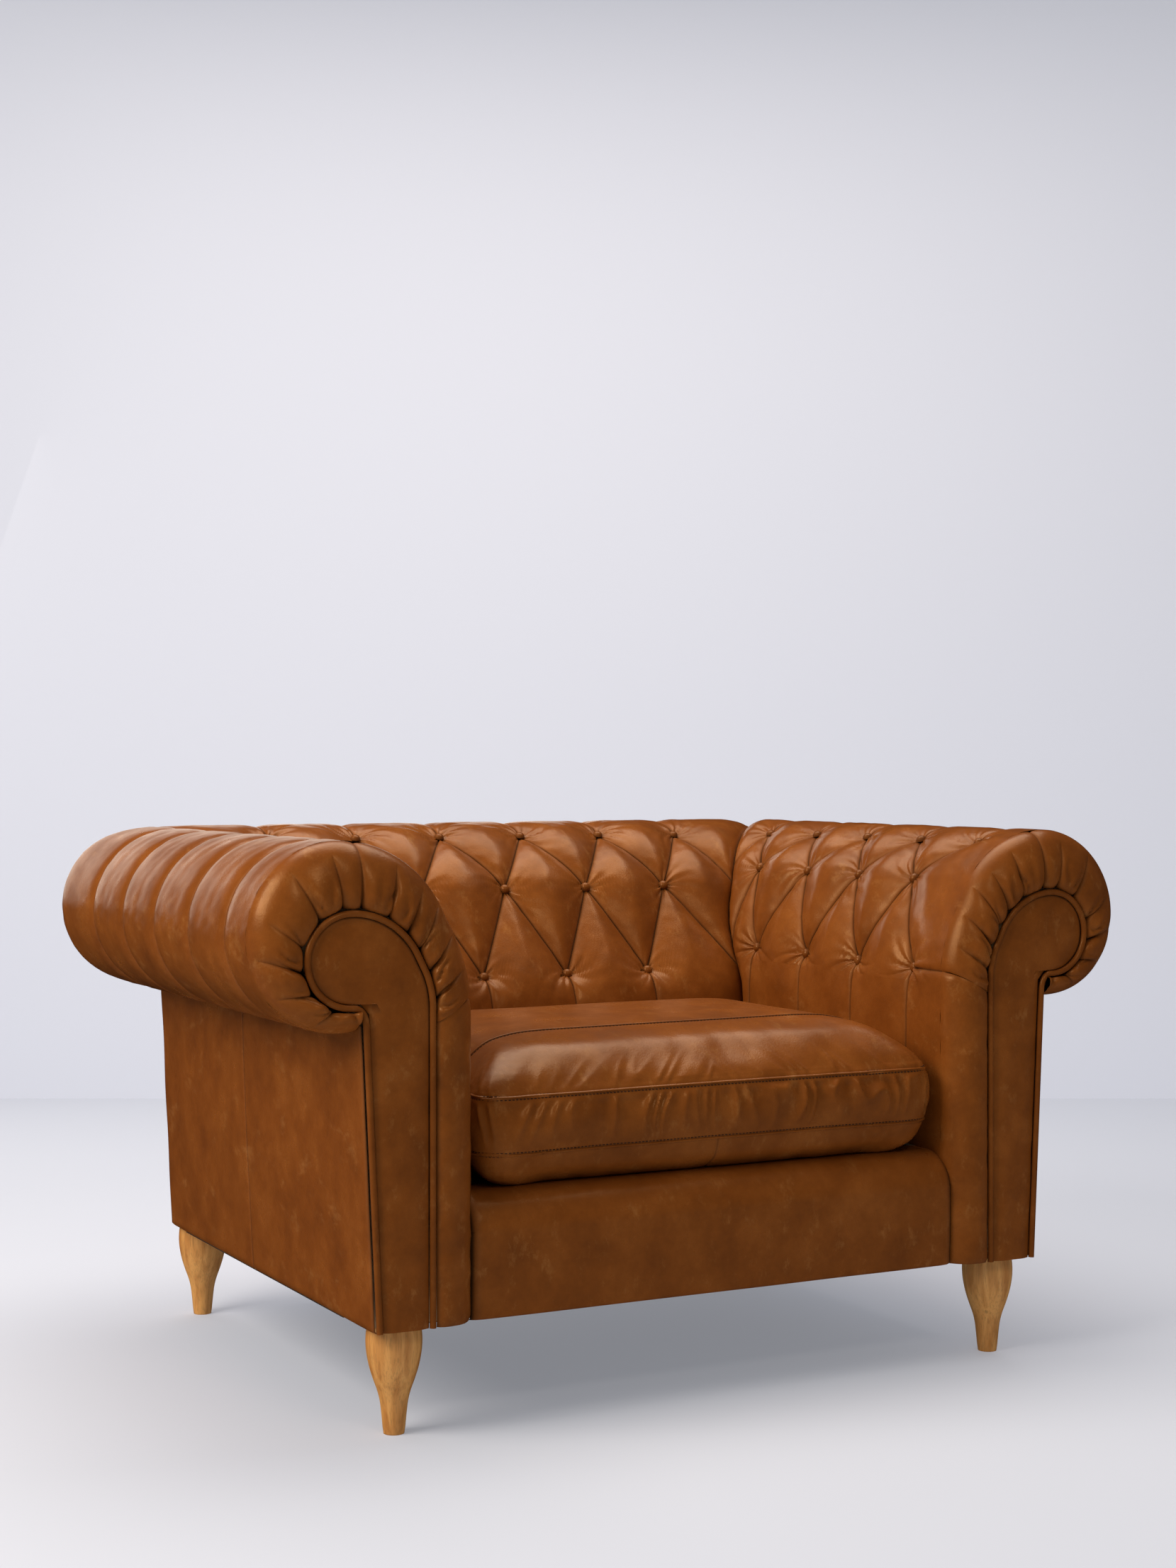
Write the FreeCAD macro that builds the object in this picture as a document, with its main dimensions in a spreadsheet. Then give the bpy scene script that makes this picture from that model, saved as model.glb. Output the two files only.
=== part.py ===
import FreeCAD, Part
import math
import os
import re
import Sketcher

Vector = FreeCAD.Vector

# Driving dimensions, millimetres and degrees. Depths are measured from the front of the arm facings
# towards the back, widths from the chair's middle plane and heights from the floor.
sizes = {
    "leg_height": 140, "leg_foot_radius": 14, "leg_neck_height": 54, "leg_neck_radius": 21,
    "leg_swell_height": 101, "leg_swell_radius": 35.1,
    "leg_belly_height": 123, "leg_belly_radius": 36.4, "leg_top_radius": 34.5, "leg_inset": 48,
    "leg_front_depth": 51, "leg_rear_setback": 38,
    "bolt_radius": 4, "bolt_in_leg": 42, "bolt_in_block": 44,
    "fit_gap": 0.2, "seat_gap": 0.4, "pad_gap": 0.8,
    "crest_height": 757, "roll_radius": 121, "arm_roll_end": 276, "back_roll_end": 267,
    "arm_overhang": 36, "arm_sweep": 155, "arm_lean": 27, "arm_straight": 40, "arm_hip": 220,
    "back_overhang": 4, "back_sweep": 200, "back_lean": 30, "back_straight": 144, "back_hip": 180,
    "cover_thickness": 30, "pad_depth": 59, "wadding_gap": 8, "mitre_gap": 10, "pad_mitre_gap": 24,
    "back_columns": 4,
    "arm_low_row": 5, "arm_mid_row": 36, "back_low_row": 29, "back_mid_row": 32, "top_row": 72,
    "button_pitch": 146, "first_button": 125, "button_radius": 8, "button_seat": 6, "button_dome": 3,
    "arm_low_lift": 10.8, "back_low_lift": 4.8,
    "low_tuft": 26, "mid_tuft": 26, "top_tuft": 17, "pleat": 13, "flute": 11, "fold": 21,
    "facing_overhang": 30, "facing_drop": 90, "facing_sweep": 100, "facing_straight": 20,
    "facing_hip": 108, "facing_head": 59, "facing_thickness": 32,
    "piping_radius": 4.5, "ring_proud": 5, "ring_gap": 2.2, "shoulder": 34,
    "body_width": 516, "body_flare": 18, "body_depth": 846, "body_corner": 40, "panel_thickness": 3,
    "panel_tuck": 5, "deck_height": 300, "rail_thickness": 28, "rail_top": 258, "board_thickness": 20,
    "block_height": 62, "block_length": 78, "rear_block_setback": 16, "cross_rail_height": 60,
    "centre_rail_height": 45, "arm_rail_side": 34, "tack_rail_side": 26, "tack_rail_drop": 8,
    "back_board_inset": 186,
    "arm_rear_board": 556, "side_rail_thickness": 28.6,
    "border_depth": 10, "border_round": 50, "border_reach": 92, "border_skin": 2.4,
    "border_corner": 24, "web_width": 50, "web_thickness": 1.6, "web_pitch": 95, "web_start": 140,
    "webs_long": 6, "webs_cross": 5, "web_end": 4, "felt_thickness": 8, "lining_thickness": 1.4,
    "dust_thickness": 1.4,
    "cushion_front": 8, "cushion_clear": 5, "cushion_low_seam": 347,
    "cushion_top_seam": 420, "cushion_crown": 495, "cushion_corner": 55, "cushion_draw": 24,
    "cushion_skin": 2.6,
}

doc = FreeCAD.newDocument("snuggler_chair")
sheet = doc.addObject("Spreadsheet::Sheet", "Sizes")
for row, (name, value) in enumerate(sizes.items(), start=1):
    sheet.set(f"A{row}", name)
    sheet.set(f"B{row}", str(value))
    sheet.setAlias(f"B{row}", name)
doc.recompute()
size = {name: float(sheet.get(name)) for name in sizes}

# The facing plane stands where the part's box is centred front to back.
front = -(size["body_depth"] + size["back_overhang"] + size["roll_radius"] - size["ring_proud"]) / 2
nodes = []


# Capital words stand for places worked out from several sizes.
places = {
    "FRONT": "(-(BACK_CREST + roll_radius - ring_proud) / 2)",
    "ARM_FACE": "(ARM_CREST - arm_sweep * COS(arm_lean) - arm_straight * SIN(arm_lean)"
                " - arm_hip * (1 - COS(arm_lean)))",
    "BACK_FACE": "(BACK_CREST - back_sweep * COS(back_lean) - back_straight * SIN(back_lean)"
                 " - back_hip * (1 - COS(back_lean)))",
    "FRAME_INSET": "(pad_depth + pad_gap)",
    "FRAME_FOOT": "(leg_height + seat_gap)",
    "FRAME_FRONT": "(FRONT + shoulder + pad_gap)",
    "FRAME_REAR": "(FRONT + body_depth - panel_thickness - seat_gap)",
    "FRAME_SIDE": "(body_width - panel_thickness - seat_gap)",
    "PANEL_TOP": "(crest_height - 2 * roll_radius + panel_tuck)",
    "SIDE_RAIL_INNER": "(FRAME_SIDE - side_rail_thickness)",
    "BACK_BOARD_SIDE": "(body_width - back_board_inset)",
    "LEG_SIDE": "(body_width - leg_inset)",
    "ARM_CREST": "(body_width + arm_overhang)",
    "BACK_CREST": "(body_depth + back_overhang)",
    "WEB_TOP": "(rail_top + 3 * fit_gap + 2 * web_thickness)",
}


def bound(text):
    for _ in range(3):
        for word, meaning in places.items():
            text = re.sub(rf"\b{word}\b", meaning, text)
    text = re.sub(r"[a-z]\w*", lambda word: "Sizes." + word.group(0), text)
    return re.sub(r"(COS|SIN)\((.*?)\)", lambda call: f"{call[1].lower()}({call[2]} * 1deg)", text)


def keep(item, label):
    item.Label = label
    nodes.append(item)
    return item


def feature(label, shape):
    item = doc.addObject("Part::Feature", label)
    item.Shape = shape
    return keep(item, label)


def mirrored(label, source):
    item = doc.addObject("Part::Mirroring", label)
    item.Source = source
    item.Normal = Vector(1, 0, 0)
    return keep(item, label)


def block(name, low, high):
    item = doc.addObject("Part::Box", name)
    for axis, start, side in zip("xyz", low, ("Length", "Width", "Height")):
        end = high["xyz".index(axis)]
        item.setExpression("Placement.Base." + axis, bound(start))
        item.setExpression(side, bound(f"({end}) - ({start})"))
    return item


def plank(label, low, high):
    return keep(block(label, low, high), label)


def group(label, items):
    item = doc.addObject("Part::Compound", label)
    item.Links = items
    return keep(item, label)


def both_sides(name, maker):
    right = maker("right_" + name)
    mirrored("left_" + name, right)


# A section curve of the upholstery: up the inside face, over the crest and round the roll.
# The angle along it is 0 on the upright face, 90 at the crest, 180 outermost and 270 underneath.
class Section:
    def __init__(self, crest, crest_height, sweep, lean, straight, hip, roll):
        self.crest, self.crest_height = crest, crest_height
        self.sweep, self.straight, self.hip, self.roll = sweep, straight, hip, roll
        self.lean = math.radians(lean)
        along = sweep * math.cos(self.lean) + straight * math.sin(self.lean)
        up = sweep * (1 - math.sin(self.lean)) + straight * math.cos(self.lean)
        self.face = crest - along - hip * (1 - math.cos(self.lean))
        self.hip_height = crest_height - up - hip * math.sin(self.lean)
        self.rows = []

    def length_at(self, angle):
        turn = math.radians(angle)
        before_sweep = self.hip * self.lean + self.straight
        if turn <= self.lean:
            return self.hip * turn
        if turn <= math.pi / 2:
            return before_sweep + self.sweep * (turn - self.lean)
        return before_sweep + self.sweep * (math.pi / 2 - self.lean) + self.roll * (turn - math.pi / 2)

    def set_rows(self, base_height, angles):
        self.rows = [base_height - self.hip_height] + [self.length_at(angle) for angle in angles]

    # The point at a length along the curve, moved square to it by inset towards the inside.
    def at_length(self, length, inset):
        hip_end = self.hip * self.lean
        sweep_start = hip_end + self.straight
        sweep_end = sweep_start + self.sweep * (math.pi / 2 - self.lean)
        if length <= 0:
            turn, across, up = 0, self.face, self.hip_height + length
        elif length <= sweep_start:
            turn = min(length, hip_end) / self.hip
            rest = max(length - hip_end, 0)
            across = self.face + self.hip * (1 - math.cos(turn)) + rest * math.sin(turn)
            up = self.hip_height + self.hip * math.sin(turn) + rest * math.cos(turn)
        else:
            radius = self.sweep if length <= sweep_end else self.roll
            origin = sweep_start if length <= sweep_end else sweep_end
            turn = (self.lean if length <= sweep_end else math.pi / 2) + (length - origin) / radius
            across = self.crest - radius * math.cos(turn)
            up = self.crest_height - radius * (1 - math.sin(turn))
        return across + inset * math.cos(turn), up - inset * math.sin(turn)

    # The point at a row number, with fractions between rows.
    def at_row(self, place, inset):
        index = min(int(place), len(self.rows) - 2)
        part = place - index
        return self.at_length(self.rows[index] * (1 - part) + self.rows[index + 1] * part, inset)

    # The curve as line and arc edges in the plane at a depth, from one angle to another.
    def edges(self, inset, base_height, end_angle, place):
        spans = [(base_height - self.hip_height, 0), (0, self.hip * self.lean)]
        spans.append((spans[1][1], spans[1][1] + self.straight))
        spans.append((spans[2][1], self.length_at(90)))
        spans += [(self.length_at(90), self.length_at(180)), (self.length_at(180), self.length_at(end_angle))]
        result = []
        for start, end in spans:
            first, middle, last = (place(*self.at_length(value, inset))
                                   for value in (start, (start + end) / 2, end))
            flat = (middle - (first + last) * 0.5).Length < 1e-6
            result.append(Part.LineSegment(first, last).toShape() if flat else Part.Arc(first, middle,
                    last).toShape())
        return result


arm = Section(size["body_width"] + size["arm_overhang"], size["crest_height"], size["arm_sweep"],
              size["arm_lean"],
              size["arm_straight"], size["arm_hip"], size["roll_radius"])
back = Section(size["body_depth"] + size["back_overhang"], size["crest_height"], size["back_sweep"],
               size["back_lean"],
               size["back_straight"], size["back_hip"], size["roll_radius"])
facing = Section(size["body_width"] + size["facing_overhang"], size["crest_height"] - size["facing_drop"],
                 size["facing_sweep"], size["arm_lean"],
                 size["facing_straight"], size["facing_hip"], size["facing_head"])
# The arms have as many button columns as fit before the back.
arm_columns = int((back.face - size["first_button"]) / size["button_pitch"]) + 1
upholstery_base = size["deck_height"] + size["pad_gap"]
roll_rows = [90, 180, 270]
arm_rows = [0, size["arm_low_row"], size["arm_mid_row"], size["top_row"]] + roll_rows + [size["arm_roll_end"]]
arm.set_rows(upholstery_base, arm_rows)
back.set_rows(upholstery_base, [0, size["back_low_row"], size["back_mid_row"], size["top_row"], 90, 180,
                                (180 + size["back_roll_end"]) / 2, size["back_roll_end"]])
# The facing's rows are level with the arm's where its seam runs across.
seam_height = arm.at_row(2, 0)[1]
facing_low = math.degrees(math.asin((seam_height - facing.hip_height) / facing.hip))
facing.set_rows(upholstery_base, [0, facing_low] + arm_rows[2:])
base_row, hip_row, low_row, mid_row, top_row, crest_row, outer_row, under_row, end_row = range(9)
corner = "corner"


# Where an arm meets the back: a mitre on the inside, an eighth of a ball outside the crest.
def corner_reach(section, other, place, inset):
    across, height = section.at_row(place, inset)
    outside = across - section.crest
    gap = size["mitre_gap"] if inset <= size["cover_thickness"] else size["pad_mitre_gap"]
    if place > crest_row:
        return other.crest + outside * math.pi / 4 - gap
    low, high = other.rows[base_row] - section.hip, other.length_at(90)
    for _ in range(60):
        middle = (low + high) / 2
        if other.at_length(middle, inset)[1] < height:
            low = middle
        else:
            high = middle
    return other.at_length(high, inset)[0] - gap


# A point of one run of upholstery: how far along it, at which row and how deep.
def run_point(section, other, along, place, inset):
    across, height = section.at_row(place, inset)
    outside = across - section.crest
    side = -1 if along < 0 else 1
    length = abs(along)
    if outside > 0 and length > other.crest:
        turn = (length - other.crest) / outside
        across = section.crest + outside * math.cos(turn)
        length = other.crest + outside * math.sin(turn)
    return across, side * length, height


def arm_point(along, place, inset):
    across, length, height = run_point(arm, back, along, place, inset)
    return Vector(across, front + length, height)


def back_point(along, place, inset):
    across, length, height = run_point(back, arm, along, place, inset)
    return Vector(length, front + across, height)


# The gathered ring at the front of an arm, from the roll's shoulder in to the piping.
ring_swell = (size["ring_proud"] + size["shoulder"] / 9) / math.sin(math.pi * 2 / 3) ** 0.8


def ring_point(along, place, inside):
    share = 1 - along / size["shoulder"]
    outer = arm.at_row(place, size["cover_thickness"] if inside else 0)
    inner = facing.at_row(place, -size["piping_radius"] - size["ring_gap"])
    if inside:
        blend, depth = share, size["shoulder"]
    else:
        blend = share ** 2
        depth = size["shoulder"] * (1 - share) ** 2 - ring_swell * math.sin(share * math.pi) ** 0.8
    return Vector(outer[0] * (1 - blend) + inner[0] * blend, front + depth, outer[1] * (1 - blend)
                  + inner[1] * blend)


# How deep leather is drawn in at a share of the way from one seam node to the next: a pleat stays
# deep along its whole length, and any other line rises quickly from its ends.
def rise(distance):
    return (1 - distance) ** 4


def drawn_in(first, second, share):
    start, end = first[2], second[2]
    if share in (0, 1):
        return (start, end)[share]
    ends = max(start * rise(share), end * rise(1 - share))
    if not (start and end):
        return ends
    if first[0] == second[0] and max(start, end) < size["mid_tuft"]:
        return start * (1 - share) + end * share
    return max(size["pleat"], ends)


# How many parts a pillow is cut in each way; the bands of flutes have their own number from row to row.
pillow_steps = 3
band_steps = {base_row: 1, crest_row: 4, outer_row: 4, under_row: 2}


def even_steps(count):
    return [0] + [number / count for number in range(1, count)] + [1]


# How deep a four-sided cell lies at a place within it: drawn in along its pleated edges.
def cell_depth(cell, a, b):
    bottom_left, bottom_right, top_right, top_left = cell
    sides = [(drawn_in(bottom_left, bottom_right, a), b), (drawn_in(top_left, top_right, a), 1 - b),
             (drawn_in(bottom_left, top_left, b), a), (drawn_in(bottom_right, top_right, b), 1 - a)]
    for depth, distance in sides:
        if distance == 0:
            return depth
    return max(depth * rise(distance) for depth, distance in sides)


def cell_grid(cell, sample, inset, across_steps, up_steps):
    grid = []
    for b in up_steps:
        line = []
        for a in across_steps:
            weights = ((1 - a) * (1 - b), a * (1 - b), a * b, (1 - a) * b)
            line.append(sample(cell, weights, inset(cell, a, b)))
        grid.append(line)
    return grid


# Flat faces between two lines of points: one where four points lie level, otherwise two triangles.
def facets(line, other):
    faces = []
    for i in range(len(line) - 1):
        a, b, c, d = line[i], line[i + 1], other[i + 1], other[i]
        square = (b - a).cross(d - a)
        level_enough = square.Length > 1e-6 and abs((c - a).dot(square)) / square.Length < 1e-6
        loops = [(a, b, c, d)] if level_enough else [(a, b, c), (a, c, d)]
        faces += [Part.Face(Part.makePolygon(list(loop) + [loop[0]])) for loop in loops]
    return faces


# A closed solid between an outer and an inner net of cells, with faces along each open edge.
def padded_solid(cells, sample, outer_inset, inner_inset, strips):
    faces = []
    borders = {}
    for cell in cells:
        up_steps = even_steps(band_steps.get(min(node[1] for node in cell), pillow_steps))
        layers = [cell_grid(cell, sample, inset, even_steps(strips), up_steps) for inset in (outer_inset,
                inner_inset)]
        for layer in layers:
            for line, other in zip(layer, layer[1:]):
                faces += facets(line, other)
        edges = [(0, 1, [layer[0] for layer in layers]), (3, 2, [layer[-1] for layer in layers]),
                 (0, 3, [[line[0] for line in layer] for layer in layers]),
                 (1, 2, [[line[-1] for line in layer] for layer in layers])]
        for start, end, lines in edges:
            borders.setdefault(frozenset((cell[start][:2], cell[end][:2])), []).append(lines)
    for uses in borders.values():
        if len(uses) == 1:
            faces += facets(*uses[0])
    skin = Part.makeCompound(faces)
    skin.sewShape()
    solid = Part.Solid(skin.Shells[0])
    if solid.Volume < 0:
        solid.reverse()
    return solid


# A point of a run for a cell's weights: its corners give the way along and the row.
def run_sampler(section, other, make):
    def sample(cell, weights, inset):
        place = sum(weight * node[1] for weight, node in zip(weights, cell))
        along = 0
        for weight, node in zip(weights, cell):
            if node[0] == corner:
                along += weight * corner_reach(section, other, place, inset)
            elif node[0] == "-" + corner:
                along -= weight * corner_reach(section, other, place, inset)
            else:
                along += weight * node[0]
        if section is arm and any(node[0] == 0 for node in cell):
            return ring_point(along, place, inset == size["cover_thickness"])
        return make(along, place, inset)
    return sample


def level(depth):
    return lambda cell, a, b: depth


depth_at = {base_row: size["flute"], hip_row: size["flute"], low_row: size["low_tuft"],
            mid_row: size["mid_tuft"],
            top_row: size["top_tuft"], crest_row: size["flute"], outer_row: size["flute"],
            under_row: size["flute"] * 0.8, end_row: size["flute"] * 0.5}
fold_at = {row: size["fold"] if row <= top_row else depth for row, depth in depth_at.items()}


def seam(along, row):
    return (along, row, (fold_at if str(along).endswith(corner) else depth_at)[row])


def smooth(along, row):
    return (along, row, 0)


# The cells between two neighbouring pleats: a house below its button, a house above it, and the flute
# halves from the crest round the roll.
def house_cells(left, middle, right):
    return [(seam(left, base_row), smooth(middle, base_row), smooth(middle, hip_row), seam(left, hip_row)),
            (smooth(middle, base_row), seam(right, base_row), seam(right, hip_row), smooth(middle, hip_row)),
            (seam(left, hip_row), smooth(middle, hip_row), seam(middle, mid_row), seam(left, low_row)),
            (smooth(middle, hip_row), seam(right, hip_row), seam(right, low_row), seam(middle, mid_row))]


def flute_cells(left, middle, right):
    cells = [(seam(left, top_row), seam(middle, mid_row), smooth(middle, crest_row), seam(left, crest_row)),
             (seam(middle, mid_row), seam(right, top_row), seam(right, crest_row), smooth(middle, crest_row))]
    for row in range(crest_row, end_row):
        cells.append((seam(left, row), smooth(middle, row), smooth(middle, row + 1), seam(left, row + 1)))
        cells.append((smooth(middle, row), seam(right, row), seam(right, row + 1), smooth(middle, row + 1)))
    return cells


def diamond(left, middle, right):
    return (seam(middle, low_row), seam(right, mid_row), seam(middle, top_row), seam(left, mid_row))


pitch = size["button_pitch"]
shoulder = size["shoulder"]
back_columns = int(size["back_columns"])


def arm_column(number):
    return size["first_button"] + number * pitch


def arm_cells():
    cells = []
    first = arm_column(0)
    for row in range(base_row, low_row):
        cells.append((smooth(shoulder, row), seam(first, row), seam(first, row + 1),
                      smooth(shoulder, row + 1)))
    half = arm_column(0.5)
    cells.append((smooth(shoulder, low_row), seam(first, low_row), seam(half, mid_row),
                  smooth(shoulder, mid_row)))
    cells.append((smooth(shoulder, mid_row), seam(half, mid_row), seam(first, top_row),
                  smooth(shoulder, top_row)))
    for row in range(top_row, end_row):
        cells.append((smooth(shoulder, row), seam(first, row), seam(first, row + 1),
                      smooth(shoulder, row + 1)))
    for row in range(low_row, end_row):
        cells.append((smooth(0, row), smooth(shoulder, row), smooth(shoulder, row + 1), smooth(0, row + 1)))
    for number in range(arm_columns):
        left, middle, right = (arm_column(number + step) for step in (0, 0.5, 1))
        cells += flute_cells(left, middle, right)
        if number < arm_columns - 1:
            cells += house_cells(left, middle, right)
            cells.append(diamond(arm_column(number + 0.5), right, arm_column(number + 1.5)))
    return cells + [end_cell(row, arm_end(row), arm_end(row + 1)) for row in range(base_row, end_row)]


def end_cell(row, start, finish):
    return (seam(start, row), seam(corner, row), seam(corner, row + 1), seam(finish, row + 1))


# The last pleat before the corner at each row.
def arm_end(row):
    ends = {base_row: -1, hip_row: -1, low_row: -1, mid_row: -0.5}
    return arm_column(arm_columns + ends.get(row, 0))


def back_cells():
    cells = []
    half = back_columns / 2
    lows = [(number - half + 0.5) * pitch for number in range(back_columns)]
    mids = [(number - half) * pitch for number in range(back_columns + 1)]
    tops = [(number - half - 0.5) * pitch for number in range(back_columns + 2)]
    for left, middle, right in zip(["-" + corner] + lows, mids, lows + [corner]):
        cells += house_cells(left, middle, right)
    for left, middle, right in zip(mids, lows, mids[1:]):
        cells.append(diamond(left, middle, right))
    for left, middle, right in zip(tops, mids, tops[1:]):
        cells += flute_cells(left, middle, right)
    for mid, top, end in ((mids[0], tops[0], "-" + corner), (mids[-1], tops[-1], corner)):
        cells.append((seam(mid, mid_row), seam(end, low_row), seam(end, mid_row), seam(top, top_row)))
        cells.append((seam(top, top_row), seam(end, mid_row), seam(end, crest_row), seam(top, crest_row)))
        for row in range(crest_row, end_row):
            cells.append((seam(top, row), seam(end, row), seam(end, row + 1), seam(top, row + 1)))
    return cells


# The foam below has the same rows in plain stretches.
def arm_pad_cells():
    cells = []
    start = shoulder + size["pad_gap"]
    for row in range(base_row, end_row):
        near, far = arm_end(row), arm_end(row + 1)
        cells.append((smooth(start, row), smooth(near, row), smooth(far, row + 1), smooth(start, row + 1)))
        cells.append((smooth(near, row), smooth(corner, row), smooth(corner, row + 1), smooth(far, row + 1)))
    return cells


def back_pad_cells():
    edge = (back_columns + 1) / 2 * pitch
    inner = (back_columns - 1) / 2 * pitch
    cells = []
    for row in range(base_row, end_row):
        near, far = (inner if step <= mid_row else edge for step in (row, row + 1))
        cells.append((smooth(-near, row), smooth(near, row), smooth(far, row + 1), smooth(-far, row + 1)))
        for side, end in ((1, corner), (-1, "-" + corner)):
            cells.append((smooth(side * near, row), smooth(end, row), smooth(end, row + 1),
                          smooth(side * far, row + 1)))
    return cells


def cover(label, cells, sampler):
    return feature(label, padded_solid(cells, sampler, cell_depth, level(size["cover_thickness"]),
                                       pillow_steps))


def pad(label, cells, sampler):
    outside = size["cover_thickness"] + size["wadding_gap"]
    return feature(label, padded_solid(cells, sampler, level(outside), level(size["pad_depth"]), 1))


arm_sampler = run_sampler(arm, back, arm_point)
back_sampler = run_sampler(back, arm, back_point)
both_sides("arm_cover", lambda label: cover(label, arm_cells(), arm_sampler))
cover("back_cover", back_cells(), back_sampler)
both_sides("arm_pad", lambda label: pad(label, arm_pad_cells(), arm_sampler))
pad("back_pad", back_pad_cells(), back_sampler)


# Covered buttons: an eight-sided dome over a point in the pit of its tuft. Pits of the low row are closed
# further by the leather round them, so the buttons there stand further out.
def button(make, along, row, low_lift):
    pit = make(along, row, depth_at[row])
    outward = (make(along, row, 0) - pit).normalize()
    tip = pit + outward * (low_lift if row == low_row else size["seat_gap"])
    spokes = [math.radians(45 * number) for number in range(9)]
    rim = [Vector(math.cos(angle), math.sin(angle), 0) * size["button_radius"] for angle in spokes]
    ends = [Vector(0, 0, -size["button_seat"]), Vector(0, 0, size["button_dome"])]
    faces = [Part.Face(Part.makePolygon([end, near, far, end])) for end in ends for near,
             far in zip(rim, rim[1:])]
    skin = Part.makeCompound(faces)
    skin.sewShape()
    solid = Part.Solid(skin.Shells[0])
    if solid.Volume < 0:
        solid.reverse()
    rim_middle = tip + outward * size["button_seat"]
    solid.Placement = FreeCAD.Placement(rim_middle, FreeCAD.Rotation(Vector(0, 0, 1), outward))
    return solid


def arm_buttons(label):
    places = [(arm_column(number), row) for row in (low_row, top_row) for number in range(arm_columns)]
    places += [(arm_column(number + 0.5), mid_row) for number in range(arm_columns)] + [(arm_end(top_row),
            top_row)]
    return feature(label, Part.makeCompound([button(arm_point, along, row, size["arm_low_lift"]) for along,
                                             row in places]))


def back_buttons(label):
    places = []
    for row, count in ((low_row, back_columns), (mid_row, back_columns + 1), (top_row, back_columns + 2)):
        places += [((number - (count - 1) / 2) * pitch, row) for number in range(count)]
    return feature(label, Part.makeCompound([button(back_point, along, row, size["back_low_lift"])
                                             for along, row in places]))


both_sides("arm_buttons", arm_buttons)
back_buttons("back_buttons")


panel_top = size["crest_height"] - 2 * size["roll_radius"] + size["panel_tuck"]


# Outside lines of the body: it leans out by the flare from its foot to the top of the side panels.
def side_at(height):
    rise_share = (height - size["leg_height"]) / (panel_top - size["leg_height"])
    return size["body_width"] + size["body_flare"] * rise_share


body_foot = size["leg_height"]
board_inset = size["pad_depth"] + size["pad_gap"]
piping_line = size["panel_thickness"] + size["seat_gap"] + size["piping_radius"]
facing_edge = size["piping_radius"] + size["pad_gap"]
notch_angle = 283
notch_height = facing.at_length(facing.length_at(notch_angle), facing_edge)[1] - 2 * facing_edge


def closed_face(edges, extra):
    first, last = edges[0].Vertexes, edges[-1].Vertexes
    points = [last[1].Point] + extra + [first[0].Point]
    lines = [Part.LineSegment(start, end).toShape() for start, end in zip(points, points[1:])]
    return Part.Face(Part.Wire(Part.__sortEdges__(edges + lines)))


def upright(depth):
    return lambda across, height: Vector(across, front + depth, height)


def sideways(across):
    return lambda depth, height: Vector(across, front + depth, height)


# Scroll boards: the upholstery's section less its padding, closed down the outside.
# Scroll boards are sawn in flats that follow the foam's facets.
def board_edges(section, foot, place):
    points = [place(section.face + board_inset, foot)]
    for row in range(base_row, end_row):
        steps = band_steps.get(row, pillow_steps)
        points += [place(*section.at_row(row + step / steps, board_inset)) for step in range(steps)]
    points.append(place(*section.at_row(end_row, board_inset)))
    return [Part.LineSegment(start, end).toShape() for start, end in zip(points, points[1:])]


def arm_board(label, depth, foot):
    place = upright(depth)
    top = arm.at_row(end_row, board_inset)[1]
    inner_side = size["panel_thickness"] + size["seat_gap"]
    outside = [place(side_at(top) - inner_side, top), place(side_at(foot) - inner_side, foot)]
    face = closed_face(board_edges(arm, foot, place), outside)
    return feature(label, face.extrude(Vector(0, size["board_thickness"], 0)))


def back_board(label, across):
    place = sideways(across - size["board_thickness"] / 2)
    top = back.at_row(end_row, board_inset)[1]
    rear = size["body_depth"] - size["panel_thickness"] - size["seat_gap"]
    foot = size["rail_top"] + size["fit_gap"]
    face = closed_face(board_edges(back, foot, place), [place(rear, top), place(rear, foot)])
    return feature(label, face.extrude(Vector(size["board_thickness"], 0, 0)))


front_board_depth = shoulder + size["pad_gap"]
block_top = body_foot + size["seat_gap"] + size["block_height"]
both_sides("front_arm_board", lambda label: arm_board(label, front_board_depth, block_top + size["fit_gap"]))
both_sides("rear_arm_board", lambda label: arm_board(label, size["arm_rear_board"],
                                                     size["rail_top"] + size["fit_gap"]))
back_board("middle_back_board", 0)
both_sides("back_board", lambda label: back_board(label, size["body_width"] - size["back_board_inset"]))


# Arm facings: a padded panel inside the piping, as deep as the gathered ring.
def arm_facing(label):
    place = upright(size["shoulder"] - size["facing_thickness"])
    inner_side = piping_line + facing_edge
    outside = [place(side_at(notch_height) - inner_side, notch_height),
               place(side_at(body_foot) - inner_side, body_foot)]
    face = closed_face(facing.edges(facing_edge, body_foot, notch_angle, place), outside)
    return feature(label, face.extrude(Vector(0, size["facing_thickness"], 0)))


# A cord of six flats, square to the start of its path.
def cord(path, start, direction):
    turn = FreeCAD.Rotation(Vector(0, 0, 1), direction)
    corners = [math.radians(60 * number) for number in range(7)]
    spokes = [Vector(math.cos(angle), math.sin(angle), 0) * size["piping_radius"] for angle in corners]
    section = Part.makePolygon([start + turn.multVec(spoke) for spoke in spokes])
    return Part.Wire(path).makePipeShell([section], True, False)


# Piping: one cord up the outside to the notch, one round the head and down the inside.
def facing_piping(label):
    depth = size["shoulder"] - size["facing_thickness"]
    place = upright(depth)
    low = place(side_at(body_foot) - piping_line, body_foot)
    high = place(side_at(notch_height) - piping_line, notch_height)
    outer = cord([Part.LineSegment(low, high).toShape()], low, high - low)
    inner_path = facing.edges(0, body_foot, notch_angle - 3, place)
    inner = cord(inner_path, inner_path[0].Vertexes[0].Point, Vector(0, 0, 1))
    return feature(label, Part.makeCompound([outer, inner]))


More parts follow.
